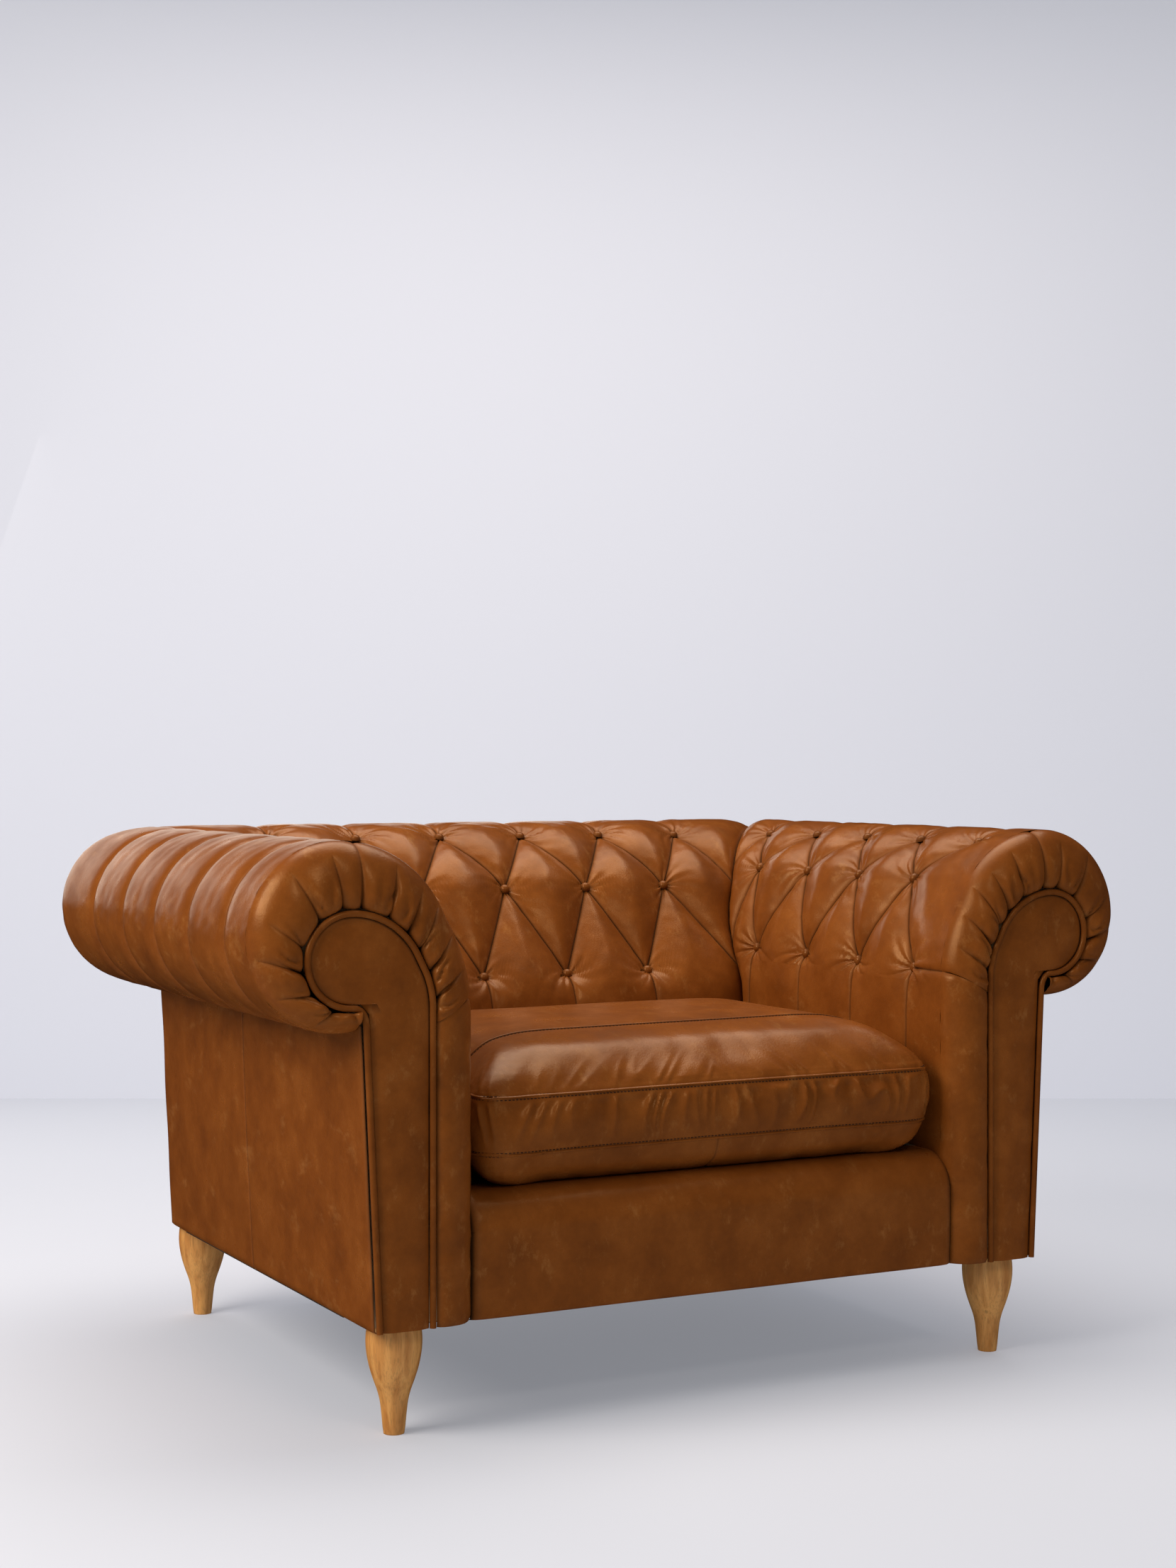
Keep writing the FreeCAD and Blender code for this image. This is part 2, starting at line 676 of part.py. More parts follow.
both_sides("arm_facing", arm_facing)
both_sides("facing_piping", facing_piping)


# The padded border beside the facing, below the seam at the low row of buttons, rounded towards the seat.
def arm_border(label):
    top = arm.at_row(low_row, size["cover_thickness"])[1] - size["pad_gap"]
    near = arm.face
    far = facing.face - facing_edge
    nose, tail = front + size["shoulder"] - size["facing_thickness"], front + size["shoulder"]
    turn = size["border_corner"]
    middle = Vector(near + turn * (1 - math.sqrt(0.5)), nose + turn * (1 - math.sqrt(0.5)), body_foot)
    points = [Vector(near + turn, nose, body_foot), Vector(far, nose, body_foot),
              Vector(far, tail, body_foot),
              Vector(near, tail, body_foot), Vector(near, nose + turn, body_foot)]
    edges = [Part.LineSegment(start, end).toShape() for start, end in zip(points, points[1:])]
    edges.append(Part.Arc(points[-1], middle, points[0]).toShape())
    return feature(label, Part.Face(Part.Wire(edges)).extrude(Vector(0, 0, top - body_foot)))


both_sides("arm_border", arm_border)


# Outside panels: leaning leather skins, the side ones rounding the rear corners.
def panel_outline(height, thickness):
    wide = side_at(height)
    rear = front + size["body_depth"]
    turn = size["body_corner"]
    start = front + size["shoulder"] - size["facing_thickness"]

    def corner_arc(inset):
        middle = Vector(wide - turn, rear - turn, height)
        reach = turn - inset
        swing = math.sqrt(0.5) * reach
        return Part.Arc(middle + Vector(reach, 0, 0), middle + Vector(swing, swing, 0),
                        middle + Vector(0, reach, 0))

    outer, inner = corner_arc(0), corner_arc(thickness)
    edges = [Part.LineSegment(Vector(wide, start, height), outer.StartPoint), outer,
             Part.LineSegment(outer.EndPoint, inner.EndPoint), inner,
             Part.LineSegment(inner.StartPoint, Vector(wide - thickness, start, height)),
             Part.LineSegment(Vector(wide - thickness, start, height), Vector(wide, start, height))]
    return Part.Wire(Part.__sortEdges__([edge.toShape() for edge in edges]))


def outer_arm_panel(label):
    wires = [panel_outline(height, size["panel_thickness"]) for height in (body_foot, panel_top)]
    return feature(label, Part.makeLoft(wires, True, True))


def outer_back_panel(label):
    rear = front + size["body_depth"]
    points = []
    for height in (body_foot, panel_top):
        wide = side_at(height) - size["body_corner"] - size["seat_gap"]
        ends = [Vector(-wide, rear, height), Vector(wide, rear, height)]
        points += ends if height == body_foot else ends[::-1]
    face = Part.Face(Part.makePolygon(points + points[:1]))
    return feature(label, face.extrude(Vector(0, -size["panel_thickness"], 0)))


both_sides("outer_arm_panel", outer_arm_panel)
outer_back_panel("outer_back_panel")


# Seat frame.
frame_width = "(ARM_FACE + FRAME_INSET - fit_gap)"
plank("front_rail", ("-" + frame_width, "FRAME_FRONT", "FRAME_FOOT"),
      (frame_width, "FRAME_FRONT + rail_thickness", "rail_top"))
plank("rear_rail", ("-" + frame_width, "FRAME_REAR - rail_thickness", "FRAME_FOOT"),
      (frame_width, "FRAME_REAR", "rail_top"))
rear_block_front = "FRONT + body_depth - rear_block_setback - block_length"
both_sides("side_rail", lambda label: plank(
    label, ("SIDE_RAIL_INNER", "FRAME_FRONT + block_length + fit_gap", "FRAME_FOOT"),
    ("FRAME_SIDE", rear_block_front + " - fit_gap", "rail_top")))
cross_end = "(SIDE_RAIL_INNER - fit_gap)"
cross_front = "FRONT + BACK_FACE + FRAME_INSET"
plank("cross_rail", ("-" + cross_end, cross_front, "rail_top - cross_rail_height"),
      (cross_end, cross_front + " + rail_thickness", "rail_top"))
plank("centre_rail", ("-rail_thickness / 2", "FRAME_FRONT + rail_thickness + fit_gap", "FRAME_FOOT"),
      ("rail_thickness / 2", "FRAME_REAR - rail_thickness - fit_gap", "FRAME_FOOT + centre_rail_height"))

# Rails inside the arms and the back, between the scroll boards.
arm_start = "FRAME_FRONT + board_thickness + fit_gap"
arm_stop = "FRONT + arm_rear_board - fit_gap"
roll_middle = "(crest_height - roll_radius)"
both_sides("arm_top_rail", lambda label: plank(
    label, ("ARM_CREST - arm_rail_side / 2", arm_start, roll_middle),
    ("ARM_CREST + arm_rail_side / 2", arm_stop, roll_middle + " + arm_rail_side")))
both_sides("arm_tack_rail", lambda label: plank(
    label, ("FRAME_SIDE - tack_rail_side", arm_start, "PANEL_TOP - tack_rail_drop - tack_rail_side"),
    ("FRAME_SIDE", arm_stop, "PANEL_TOP - tack_rail_drop")))


# A rail of the back in two lengths, from the middle board to each outer one.
def back_rail(label, low_depth, low_height, side):
    lengths = []
    for word, start, end in (("right", "board_thickness / 2 + fit_gap",
                              "BACK_BOARD_SIDE - board_thickness / 2 - fit_gap"),
                             ("left", "-(BACK_BOARD_SIDE - board_thickness / 2 - fit_gap)",
                              "-(board_thickness / 2 + fit_gap)")):
        lengths.append(block(label + "_" + word, (start, low_depth, low_height),
                             (end, low_depth + " + " + side, low_height + " + " + side)))
    return group(label, lengths)


back_rail("back_top_rail", "FRONT + BACK_CREST - arm_rail_side / 2", roll_middle, "arm_rail_side")
back_rail("back_tack_rail", "FRAME_REAR - tack_rail_side", "PANEL_TOP - tack_rail_drop - tack_rail_side",
          "tack_rail_side")


def sketch_on(body, name, role):
    sketch = body.newObject("Sketcher::SketchObject", name)
    plane = next(item for item in body.Origin.OriginFeatures if item.Role == role)
    sketch.AttachmentSupport = [(plane, "")]
    sketch.MapMode = "FlatFace"
    return sketch


# Pins a point of a sketch to a place given by two expressions.
def pin(sketch, line, end, across, up):
    for kind, text in (("DistanceX", across), ("DistanceY", up)):
        if text == "0":
            sketch.addConstraint(Sketcher.Constraint("PointOnObject", line, end, -2 if kind == "DistanceX"
                                                     else -1))
            continue
        point = sketch.getPoint(line, end)
        index = sketch.addConstraint(Sketcher.Constraint(kind, -1, 1, line, end,
                                                         point.x if kind == "DistanceX" else point.y))
        sketch.setExpression(f"Constraints[{index}]", bound(text))


# A closed outline of straight lines through points given by expressions; values are where they start out.
def outline(sketch, points, values):
    count = len(points)
    for number in range(count):
        sketch.addGeometry(Part.LineSegment(Vector(*values[number], 0),
                                            Vector(*values[(number + 1) % count], 0)))
    for number in range(count):
        sketch.addConstraint(Sketcher.Constraint("Coincident", number, 2, (number + 1) % count, 1))
    for number, (across, up) in enumerate(points):
        pin(sketch, number, 1, across, up)


# Turned legs: a slim foot that swells to a belly under the frame, bored for its bolt.
def leg(label, depth):
    body = doc.addObject("PartDesign::Body", label)
    body.setExpression("Placement.Base.x", bound("LEG_SIDE"))
    body.setExpression("Placement.Base.y", bound("FRONT + " + depth))
    sketch = sketch_on(body, label + "_profile", "XZ_Plane")
    points = [("0", "0"), ("leg_foot_radius", "0")]
    values = [(0, 0), (size["leg_foot_radius"], 0)]
    for word in ("neck", "swell", "belly"):
        points.append((f"leg_{word}_radius", f"leg_{word}_height"))
        values.append((size[f"leg_{word}_radius"], size[f"leg_{word}_height"]))
    bore_foot = "leg_height - bolt_in_leg - seat_gap"
    points += [("leg_top_radius", "leg_height"), ("bolt_radius + fit_gap", "leg_height"),
               ("bolt_radius + fit_gap", bore_foot), ("0", bore_foot)]
    foot_value = size["leg_height"] - size["bolt_in_leg"] - size["seat_gap"]
    bore_value = size["bolt_radius"] + size["fit_gap"]
    values += [(size["leg_top_radius"], size["leg_height"]), (bore_value, size["leg_height"]),
               (bore_value, foot_value), (0, foot_value)]
    outline(sketch, points, values)
    turned = body.newObject("PartDesign::Revolution", label + "_turned")
    turned.Profile = sketch
    turned.ReferenceAxis = (sketch, ["V_Axis"])
    turned.Angle = 360
    return keep(body, label)


both_sides("front_leg", lambda label: leg(label, "leg_front_depth"))
both_sides("rear_leg", lambda label: leg(label, "(body_depth - leg_rear_setback)"))


# Leg blocks: a corner of the frame, bored for the leg's bolt.
def leg_block(label, low, high, depth):
    body = doc.addObject("PartDesign::Body", label)
    for axis, text in zip("xyz", low + ("FRAME_FOOT",)):
        body.setExpression("Placement.Base." + axis, bound(text))
    sketch = sketch_on(body, label + "_plan", "XY_Plane")
    wide, deep = (f"({end}) - ({start})" for start, end in zip(low, high))
    side = size["block_length"]
    outline(sketch, [("0", "0"), (wide, "0"), (wide, deep), ("0", deep)], [(0, 0), (side, 0), (side, side),
            (0, side)])
    hole = sketch.addGeometry(Part.Circle(Vector(side / 2, side / 2, 0), Vector(0, 0, 1),
                                          size["bolt_radius"]))
    pin(sketch, hole, 3, f"LEG_SIDE - ({low[0]})", f"FRONT + {depth} - ({low[1]})")
    index = sketch.addConstraint(Sketcher.Constraint("Radius", hole, size["bolt_radius"]))
    sketch.setExpression(f"Constraints[{index}]", bound("bolt_radius + fit_gap"))
    solid = body.newObject("PartDesign::Pad", label + "_solid")
    solid.Profile = sketch
    solid.setExpression("Length", bound("block_height"))
    return keep(body, label)


block_side = "ARM_FACE + FRAME_INSET"
both_sides("front_leg_block", lambda label: leg_block(
    label, (block_side, "FRAME_FRONT"), ("FRAME_SIDE", "FRAME_FRONT + block_length"), "leg_front_depth"))
both_sides("rear_leg_block", lambda label: leg_block(
    label, (block_side, rear_block_front), ("body_width - rear_block_setback",
                                            rear_block_front + " + block_length"),
    "(body_depth - leg_rear_setback)"))


def bolt(number, across, depth):
    item = doc.addObject("Part::Cylinder", f"bolt_{number}")
    for axis, text in zip("xyz", (across, "FRONT + " + depth, "leg_height - bolt_in_leg")):
        item.setExpression("Placement.Base." + axis, bound(text))
    item.setExpression("Height", bound("bolt_in_leg + seat_gap + bolt_in_block"))
    item.setExpression("Radius", bound("bolt_radius"))
    return item


bolt_places = [(side, depth) for side in ("LEG_SIDE", "-LEG_SIDE") for depth in ("leg_front_depth",
        "(body_depth - leg_rear_setback)")]
group("leg_bolts", [bolt(number, *place) for number, place in enumerate(bolt_places)])


# Webbing, felt and the platform that the cushion lies on.
def straps(label, count, make):
    items = []
    for number in range(int(size[count])):
        low, high = make(number)
        items.append(block(f"{label}_{number}", low, high))
    return group(label, items)


def long_strap(number):
    middle = f"({number} - (webs_long - 1) / 2) * web_pitch"
    return ((middle + " - web_width / 2", "FRAME_FRONT + web_end", "rail_top + fit_gap"),
            (middle + " + web_width / 2", cross_front + " + rail_thickness - web_end",
             "rail_top + fit_gap + web_thickness"))


def cross_strap(number):
    middle = f"FRONT + web_start + {number} * web_pitch"
    foot = "rail_top + 2 * fit_gap + web_thickness"
    return (("-(FRAME_SIDE - web_end)", middle + " - web_width / 2", foot),
            ("FRAME_SIDE - web_end", middle + " + web_width / 2", foot + " + web_thickness"))


straps("webbing_lengthwise", "webs_long", long_strap)
straps("webbing_crosswise", "webs_cross", cross_strap)
platform_side = "(ARM_FACE - pad_gap)"
platform_front = "FRONT + border_reach + pad_gap"
platform_rear = "FRONT + BACK_FACE - pad_gap"
layers = [("seat_felt", "WEB_TOP", "WEB_TOP + felt_thickness"),
          ("platform_pad", "WEB_TOP + felt_thickness + fit_gap", "deck_height - lining_thickness - fit_gap"),
          ("platform_lining", "deck_height - lining_thickness", "deck_height")]
for label, foot, top in layers:
    plank(label, ("-" + platform_side, platform_front, foot), (platform_side, platform_rear, top))


# Dust cover: the whole underside but for the four leg blocks.
def dust_cover(label):
    body = doc.addObject("PartDesign::Body", label)
    for axis, text in zip("xyz", ("-FRAME_SIDE", "FRAME_FRONT", "FRAME_FOOT - fit_gap - dust_thickness")):
        body.setExpression("Placement.Base." + axis, bound(text))
    sketch = sketch_on(body, label + "_plan", "XY_Plane")
    notch = "FRAME_SIDE - ARM_FACE - FRAME_INSET + fit_gap"
    across = ["0", notch, "2 * FRAME_SIDE - (" + notch + ")", "2 * FRAME_SIDE"]
    along = ["0", "block_length + fit_gap", rear_block_front + " - FRAME_FRONT - fit_gap",
             "FRAME_REAR - FRAME_FRONT"]
    steps = [(1, 0), (2, 0), (2, 1), (3, 1), (3, 2), (2, 2), (2, 3), (1, 3), (1, 2), (0, 2), (0, 1), (1, 1)]
    third = size["body_width"] / 3
    outline(sketch, [(across[x], along[y]) for x, y in steps], [(x * third, y * third) for x, y in steps])
    solid = body.newObject("PartDesign::Pad", label + "_solid")
    solid.Profile = sketch
    solid.setExpression("Length", bound("dust_thickness"))
    return keep(body, label)


dust_cover("dust_cover")


# The front border: leather and foam over the front rail, with a large round top edge.
def border_edge(inset):
    face, top, turn = size["border_depth"] + inset, size["deck_height"] - inset, size["border_round"] - inset
    swing = turn * (1 - math.sqrt(0.5))
    points = [Vector(0, front + face, body_foot + size["seat_gap"]), Vector(0, front + face, top - turn),
              Vector(0, front + face + swing, top - swing), Vector(0, front + face + turn, top),
              Vector(0, front + size["border_reach"], top)]
    return [Part.LineSegment(points[0], points[1]).toShape(), Part.Arc(*points[1:4]).toShape(),
            Part.LineSegment(points[3], points[4]).toShape()]


def border_solid(label, edges, corners):
    start, end = edges[-1].Vertexes[-1].Point, edges[0].Vertexes[0].Point
    chain = [start] + corners + [end]
    lines = [Part.LineSegment(near, far).toShape() for near, far in zip(chain, chain[1:])]
    face = Part.Face(Part.Wire(Part.__sortEdges__(edges + lines)))
    half = arm.face - size["pad_gap"]
    face.translate(Vector(-half, 0, 0))
    return feature(label, face.extrude(Vector(2 * half, 0, 0)))


def front_border():
    skin = size["border_skin"]
    inner = border_edge(skin)
    inner_points = [edge.Vertexes for edge in inner]
    outer = border_edge(0)
    start, end = outer[-1].Vertexes[-1].Point, outer[0].Vertexes[0].Point
    closing = [Part.LineSegment(start, inner_points[-1][-1].Point).toShape(),
               Part.LineSegment(inner_points[0][0].Point, end).toShape()]
    face = Part.Face(Part.Wire(Part.__sortEdges__(outer + inner + closing)))
    half = arm.face - size["pad_gap"]
    face.translate(Vector(-half, 0, 0))
    feature("front_border_cover", face.extrude(Vector(2 * half, 0, 0)))
    under = size["rail_top"] + 3 * size["fit_gap"] + 2 * size["web_thickness"]
    rail_face = front + size["shoulder"] + size["pad_gap"] - size["fit_gap"]
    corners = [Vector(0, front + size["border_reach"], under), Vector(0, rail_face, under),
               Vector(0, rail_face, body_foot + size["seat_gap"])]
    border_solid("front_border_pad", border_edge(skin + size["seat_gap"]), corners)


front_border()


corner_steps = 6


# The loose seat cushion: drawn in at the bottom, a boxed border between two seams and a crowned top.
def cushion_ring(height, inset):
    turn = size["cushion_corner"]
    half = arm.face - size["cushion_clear"] - inset - turn
    near = front + size["cushion_front"] + inset + turn
    far = front + back.face - size["cushion_clear"] - inset - turn
    centres = [(half, far), (-half, far), (-half, near), (half, near)]
    points = []
    for corner_number, (across, along) in enumerate(centres):
        for step in range(corner_steps + 1):
            angle = math.pi / 2 * (corner_number + step / corner_steps)
            points.append(Vector(across + turn * math.cos(angle), along + turn * math.sin(angle), height))
    return points + points[:1]


def cushion_form(shrink):
    base = size["deck_height"] + size["seat_gap"]
    low, top, crown, draw = (size["cushion_" + word] for word in ("low_seam", "top_seam", "crown", "draw"))
    dome = crown - top
    rings = [(base + shrink, draw), (base + (low - base) * 0.3, draw * 0.4), (low, draw * 0.1),
             ((low + top) / 2, -2),
             (top, 0), (top + dome * 0.3, draw * 0.6), (top + dome * 0.62, draw * 2),
             (top + dome * 0.85, draw * 4.4),
             (crown - shrink, draw * 8)]
    lines = [cushion_ring(height, inset + shrink) for height, inset in rings]
    faces = [Part.Face(Part.makePolygon(line)) for line in (lines[0], lines[-1])]
    for line, other in zip(lines, lines[1:]):
        faces += facets(line, other)
    skin = Part.makeCompound(faces)
    skin.sewShape()
    return Part.Solid(skin.Shells[0])


feature("cushion_core", cushion_form(size["cushion_skin"] + size["seat_gap"]))
feature("cushion_cover", cushion_form(0).cut(cushion_form(size["cushion_skin"])))

doc.recompute()
for item in doc.Objects:
    if any(word in item.State for word in ("Invalid", "Error")):
        raise RuntimeError(f"{item.Label} failed: {item.State}")
for item in nodes:
    if item.Shape.isNull() or not item.Shape.isValid() or not item.Shape.Solids:
        raise RuntimeError(f"{item.Label} has no sound solid")
os.makedirs("parts", exist_ok=True)
for item in nodes:
    item.Shape.exportStep("parts/" + item.Label + ".step")
print(len(nodes), "nodes,", sum(len(item.Shape.Solids) for item in nodes), "solids")
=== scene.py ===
import math
import bmesh
import bpy
import numpy as np
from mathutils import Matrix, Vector
from mathutils.bvhtree import BVHTree


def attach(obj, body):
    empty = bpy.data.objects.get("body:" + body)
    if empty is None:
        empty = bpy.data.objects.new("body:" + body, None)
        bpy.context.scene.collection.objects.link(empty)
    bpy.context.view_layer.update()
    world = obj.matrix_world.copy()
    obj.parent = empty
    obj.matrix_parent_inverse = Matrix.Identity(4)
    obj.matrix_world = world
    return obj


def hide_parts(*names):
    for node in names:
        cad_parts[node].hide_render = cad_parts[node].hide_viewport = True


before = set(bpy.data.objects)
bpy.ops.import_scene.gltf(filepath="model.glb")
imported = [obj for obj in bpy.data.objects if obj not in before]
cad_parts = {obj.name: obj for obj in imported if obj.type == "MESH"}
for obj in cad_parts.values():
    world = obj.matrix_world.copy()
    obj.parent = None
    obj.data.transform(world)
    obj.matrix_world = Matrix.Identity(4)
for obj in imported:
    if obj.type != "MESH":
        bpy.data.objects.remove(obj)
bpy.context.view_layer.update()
scene = bpy.context.scene
scene.view_settings.view_transform = "Standard"
mm = 0.001

# the chair's own sizes in millimetres; depth runs back from the front of the arm facings
chair = dict(front=-483.0, deck=300.0, hem=286.0, foot=140.4, legTop=140.0, sideFoot=516.0, sideFlare=18.0,
             panelTop=520.0, rear=846.0, pitch=146.0, firstButton=125.0, shoulder=34.0, proud=5.0)


def linear(hexColour):
    # sRGB hex to linear light
    part = np.array([int(hexColour[i:i + 2], 16) for i in (1, 3, 5)]) / 255.0
    light = np.where(part <= 0.04045, part / 12.92, ((part + 0.055) / 1.055) ** 2.4)
    return (*[float(v) for v in light], 1.0)


def put(tree, kind, settings=None, links=None):
    # one node with its settings and links; stops are those of a colour ramp, as hex or grey, names and
    # numbers of sockets go to their default values, and other names to the node itself
    node = tree.nodes.new(kind)
    for name, value in (settings or {}).items():
        if name == "stops":
            elements = node.color_ramp.elements
            while len(elements) < len(value):
                elements.new(0.5)
            for element, (place, colour) in zip(elements, value):
                element.position = place
                element.color = linear(colour) if isinstance(colour, str) else (colour, colour, colour, 1)
        elif isinstance(name, int) or name in node.inputs:
            node.inputs[name].default_value = value
        else:
            setattr(node, name, value)
    for name, (source, output) in (links or {}).items():
        tree.links.new(source.outputs[output], node.inputs[name])
    return node


def newMaterial(name):
    material = bpy.data.materials.new(name)
    material.use_nodes = True
    tree = material.node_tree
    shader = next(node for node in tree.nodes if node.type == "BSDF_PRINCIPLED")
    return material, tree, shader


# Aniline-dyed pull-up cowhide: waxed, so it is lighter where it is stretched and rubbed, with cloudy dye,
# fine pebbled grain and pale scuffs; the darkening at the bottoms of tucks and seams is painted shade. Grain
# is really about 1 mm and is drawn at 2.4 mm to show.
leather = dict(mid="#804517", deep="#733c12", pale="#8e5120", tuck="#1d0c02", scuff="#b17c45", roughness=0.27,
               cloudMm=70.0, speckMm=9.0, grainMm=2.4, wrinkleMm=16.0, scuffMm=26.0, shine=0.5, wax="#e6bc88")


def makeLeather(name, tone=1.0):
    material, tree, shader = newMaterial(name)
    place = put(tree, "ShaderNodeTexCoord")
    cloud = put(tree, "ShaderNodeTexNoise",
                {"Scale": 1000 / leather["cloudMm"], "Detail": 5.0, "Roughness": 0.62},
                {"Vector": (place, "Object")})
    dye = put(tree, "ShaderNodeValToRGB",
              {"stops": [(0.3, leather["deep"]), (0.5, leather["mid"]), (0.72, leather["pale"])]},
              {"Fac": (cloud, "Fac")})
    speck = put(tree, "ShaderNodeTexNoise",
                {"Scale": 1000 / leather["speckMm"], "Detail": 6.0, "Roughness": 0.7},
                {"Vector": (place, "Object")})
    speckTone = put(tree, "ShaderNodeValToRGB", {"stops": [(0.3, 0.8), (0.7, 1.0)]}, {"Fac": (speck, "Fac")})
    body = put(tree, "ShaderNodeMix", {"data_type": "RGBA", "blend_type": "MULTIPLY", "Factor": 0.55},
               {6: (dye, "Color"), 7: (speckTone, "Color")})
    # scuffs are short pale hairs: stretched noise, cut high
    stretch = put(tree, "ShaderNodeMapping", {"Scale": (1.0, 0.35, 0.6), "Rotation": (0.4, 0.5, 0.9)},
                  {"Vector": (place, "Object")})
    scuff = put(tree, "ShaderNodeTexNoise",
                {"Scale": 1000 / leather["scuffMm"], "Detail": 9.0, "Roughness": 0.78},
                {"Vector": (stretch, "Vector")})
    scuffCut = put(tree, "ShaderNodeValToRGB", {"stops": [(0.56, 0.0), (0.74, 0.42)]},
                   {"Fac": (scuff, "Fac")})
    worn = put(tree, "ShaderNodeMix", {"data_type": "RGBA", 7: linear(leather["scuff"])},
               {0: (scuffCut, "Color"), 6: (body, 2)})
    # painted shade: each piece carries a value on its points that is high at the bottoms of tucks and seams,
    # and there the colour is drawn towards a near-black shade colour
    tuck = put(tree, "ShaderNodeAttribute", {"attribute_name": "tuck"})
    paintedShadeCut = put(tree, "ShaderNodeValToRGB", {"stops": [(0.25, 0.0), (0.62, 0.35), (1.0, 0.94)]},
                  {"Fac": (tuck, "Fac")})
    colour = put(tree, "ShaderNodeMix", {"data_type": "RGBA", 7: linear(leather["tuck"])},
                 {0: (paintedShadeCut, "Color"), 6: (worn, 2)})
    toned = put(tree, "ShaderNodeMix", {"data_type": "RGBA", "blend_type": "MULTIPLY", "Factor": 1.0,
                                        7: (tone, tone, tone, 1.0)}, {6: (colour, 2)})
    tree.links.new(toned.outputs[2], shader.inputs["Base Color"])
    sheen = put(tree, "ShaderNodeValToRGB",
                {"stops": [(0.25, leather["roughness"] + 0.12), (0.75, leather["roughness"] - 0.04)]},
                {"Fac": (cloud, "Fac")})
    # no wax reaches the bottom of a tuck, so it doesn't shine
    dry = put(tree, "ShaderNodeValToRGB", {"stops": [(0.12, 0.0), (0.6, 1.0)]}, {"Fac": (tuck, "Fac")})
    rough = put(tree, "ShaderNodeMix", {"data_type": "FLOAT", 3: 0.9},
                {0: (dry, "Color"), 2: (sheen, "Color")})
    tree.links.new(rough.outputs[0], shader.inputs["Roughness"])
    grain = put(tree, "ShaderNodeTexVoronoi", {"Scale": 1000 / leather["grainMm"]},
                {"Vector": (place, "Object")})
    wrinkle = put(tree, "ShaderNodeTexNoise", {"Scale": 1000 / leather["wrinkleMm"], "Detail": 4.0},
                  {"Vector": (place, "Object")})
    low = put(tree, "ShaderNodeBump", {"Strength": 0.07, "Distance": 0.004}, {"Height": (wrinkle, "Fac")})
    fine = put(tree, "ShaderNodeBump", {"Strength": 0.1, "Distance": 0.0008},
               {"Height": (grain, "Distance"), "Normal": (low, "Normal")})
    tree.links.new(fine.outputs["Normal"], shader.inputs["Normal"])
    shader.inputs["IOR"].default_value = 1.5
    shader.inputs["Specular Tint"].default_value = linear(leather["wax"])
    shader.inputs["Specular IOR Level"].default_value = leather["shine"]
    return material


# Oiled oak: straight pale grain along the leg with short darker pores and a small knot here and there.
def makeWood(name, light, dark, roughness):
    material, tree, shader = newMaterial(name)
    place = put(tree, "ShaderNodeTexCoord")
    along = put(tree, "ShaderNodeMapping", {"Scale": (1.0, 1.0, 0.09)}, {"Vector": (place, "Object")})
    band = put(tree, "ShaderNodeTexNoise", {"Scale": 90.0, "Detail": 4.0, "Distortion": 0.6},
               {"Vector": (along, "Vector")})
    grain = put(tree, "ShaderNodeValToRGB", {"stops": [(0.34, dark), (0.62, light)]}, {"Fac": (band, "Fac")})
    pore = put(tree, "ShaderNodeTexNoise", {"Scale": 620.0, "Detail": 2.0}, {"Vector": (along, "Vector")})
    poreCut = put(tree, "ShaderNodeValToRGB", {"stops": [(0.34, 0.62), (0.48, 1.0)]}, {"Fac": (pore, "Fac")})
    mixed = put(tree, "ShaderNodeMix", {"data_type": "RGBA", "blend_type": "MULTIPLY", "Factor": 0.5},
                {6: (grain, "Color"), 7: (poreCut, "Color")})
    knot = put(tree, "ShaderNodeTexVoronoi", {"Scale": 22.0}, {"Vector": (place, "Object")})
    knotCut = put(tree, "ShaderNodeValToRGB", {"stops": [(0.03, 0.4), (0.09, 1.0)]},
                  {"Fac": (knot, "Distance")})
    colour = put(tree, "ShaderNodeMix", {"data_type": "RGBA", "blend_type": "MULTIPLY", "Factor": 0.7},
                 {6: (mixed, 2), 7: (knotCut, "Color")})
    tree.links.new(colour.outputs[2], shader.inputs["Base Color"])
    bump = put(tree, "ShaderNodeBump", {"Strength": 0.08, "Distance": 0.001}, {"Height": (pore, "Fac")})
    tree.links.new(bump.outputs["Normal"], shader.inputs["Normal"])
    shader.inputs["Roughness"].default_value = roughness
    return material


# Plain-woven cloth: threads of two directions, 1.6 mm apart so that they show.
def makeCloth(name, light, dark):
    material, tree, shader = newMaterial(name)
    place = put(tree, "ShaderNodeTexCoord")
    threads = [put(tree, "ShaderNodeTexWave", {"Scale": 100.0, "Distortion": 0.6, "bands_direction": way},
                   {"Vector": (place, "Object")}) for way in ("X", "Y")]
    weave = put(tree, "ShaderNodeMath", {"operation": "MULTIPLY"},
                {0: (threads[0], "Fac"), 1: (threads[1], "Fac")})
    colour = put(tree, "ShaderNodeValToRGB", {"stops": [(0.0, dark), (0.7, light)]},
                 {"Fac": (weave, "Value")})
    tree.links.new(colour.outputs["Color"], shader.inputs["Base Color"])
    bump = put(tree, "ShaderNodeBump", {"Strength": 0.4, "Distance": 0.001}, {"Height": (weave, "Value")})
    tree.links.new(bump.outputs["Normal"], shader.inputs["Normal"])
    shader.inputs["Roughness"].default_value = 0.9
    return material


# Zinc-plated steel, drawn bar: fine cloudy brightness.
def makeSteel(name):
    material, tree, shader = newMaterial(name)
    place = put(tree, "ShaderNodeTexCoord")
    cloud = put(tree, "ShaderNodeTexNoise", {"Scale": 260.0, "Detail": 3.0}, {"Vector": (place, "Object")})
    rough = put(tree, "ShaderNodeValToRGB", {"stops": [(0.3, 0.25), (0.7, 0.45)]}, {"Fac": (cloud, "Fac")})
    tree.links.new(rough.outputs["Color"], shader.inputs["Roughness"])
    shader.inputs["Base Color"].default_value = linear("#b9bcc0")
    shader.inputs["Metallic"].default_value = 1.0
    return material


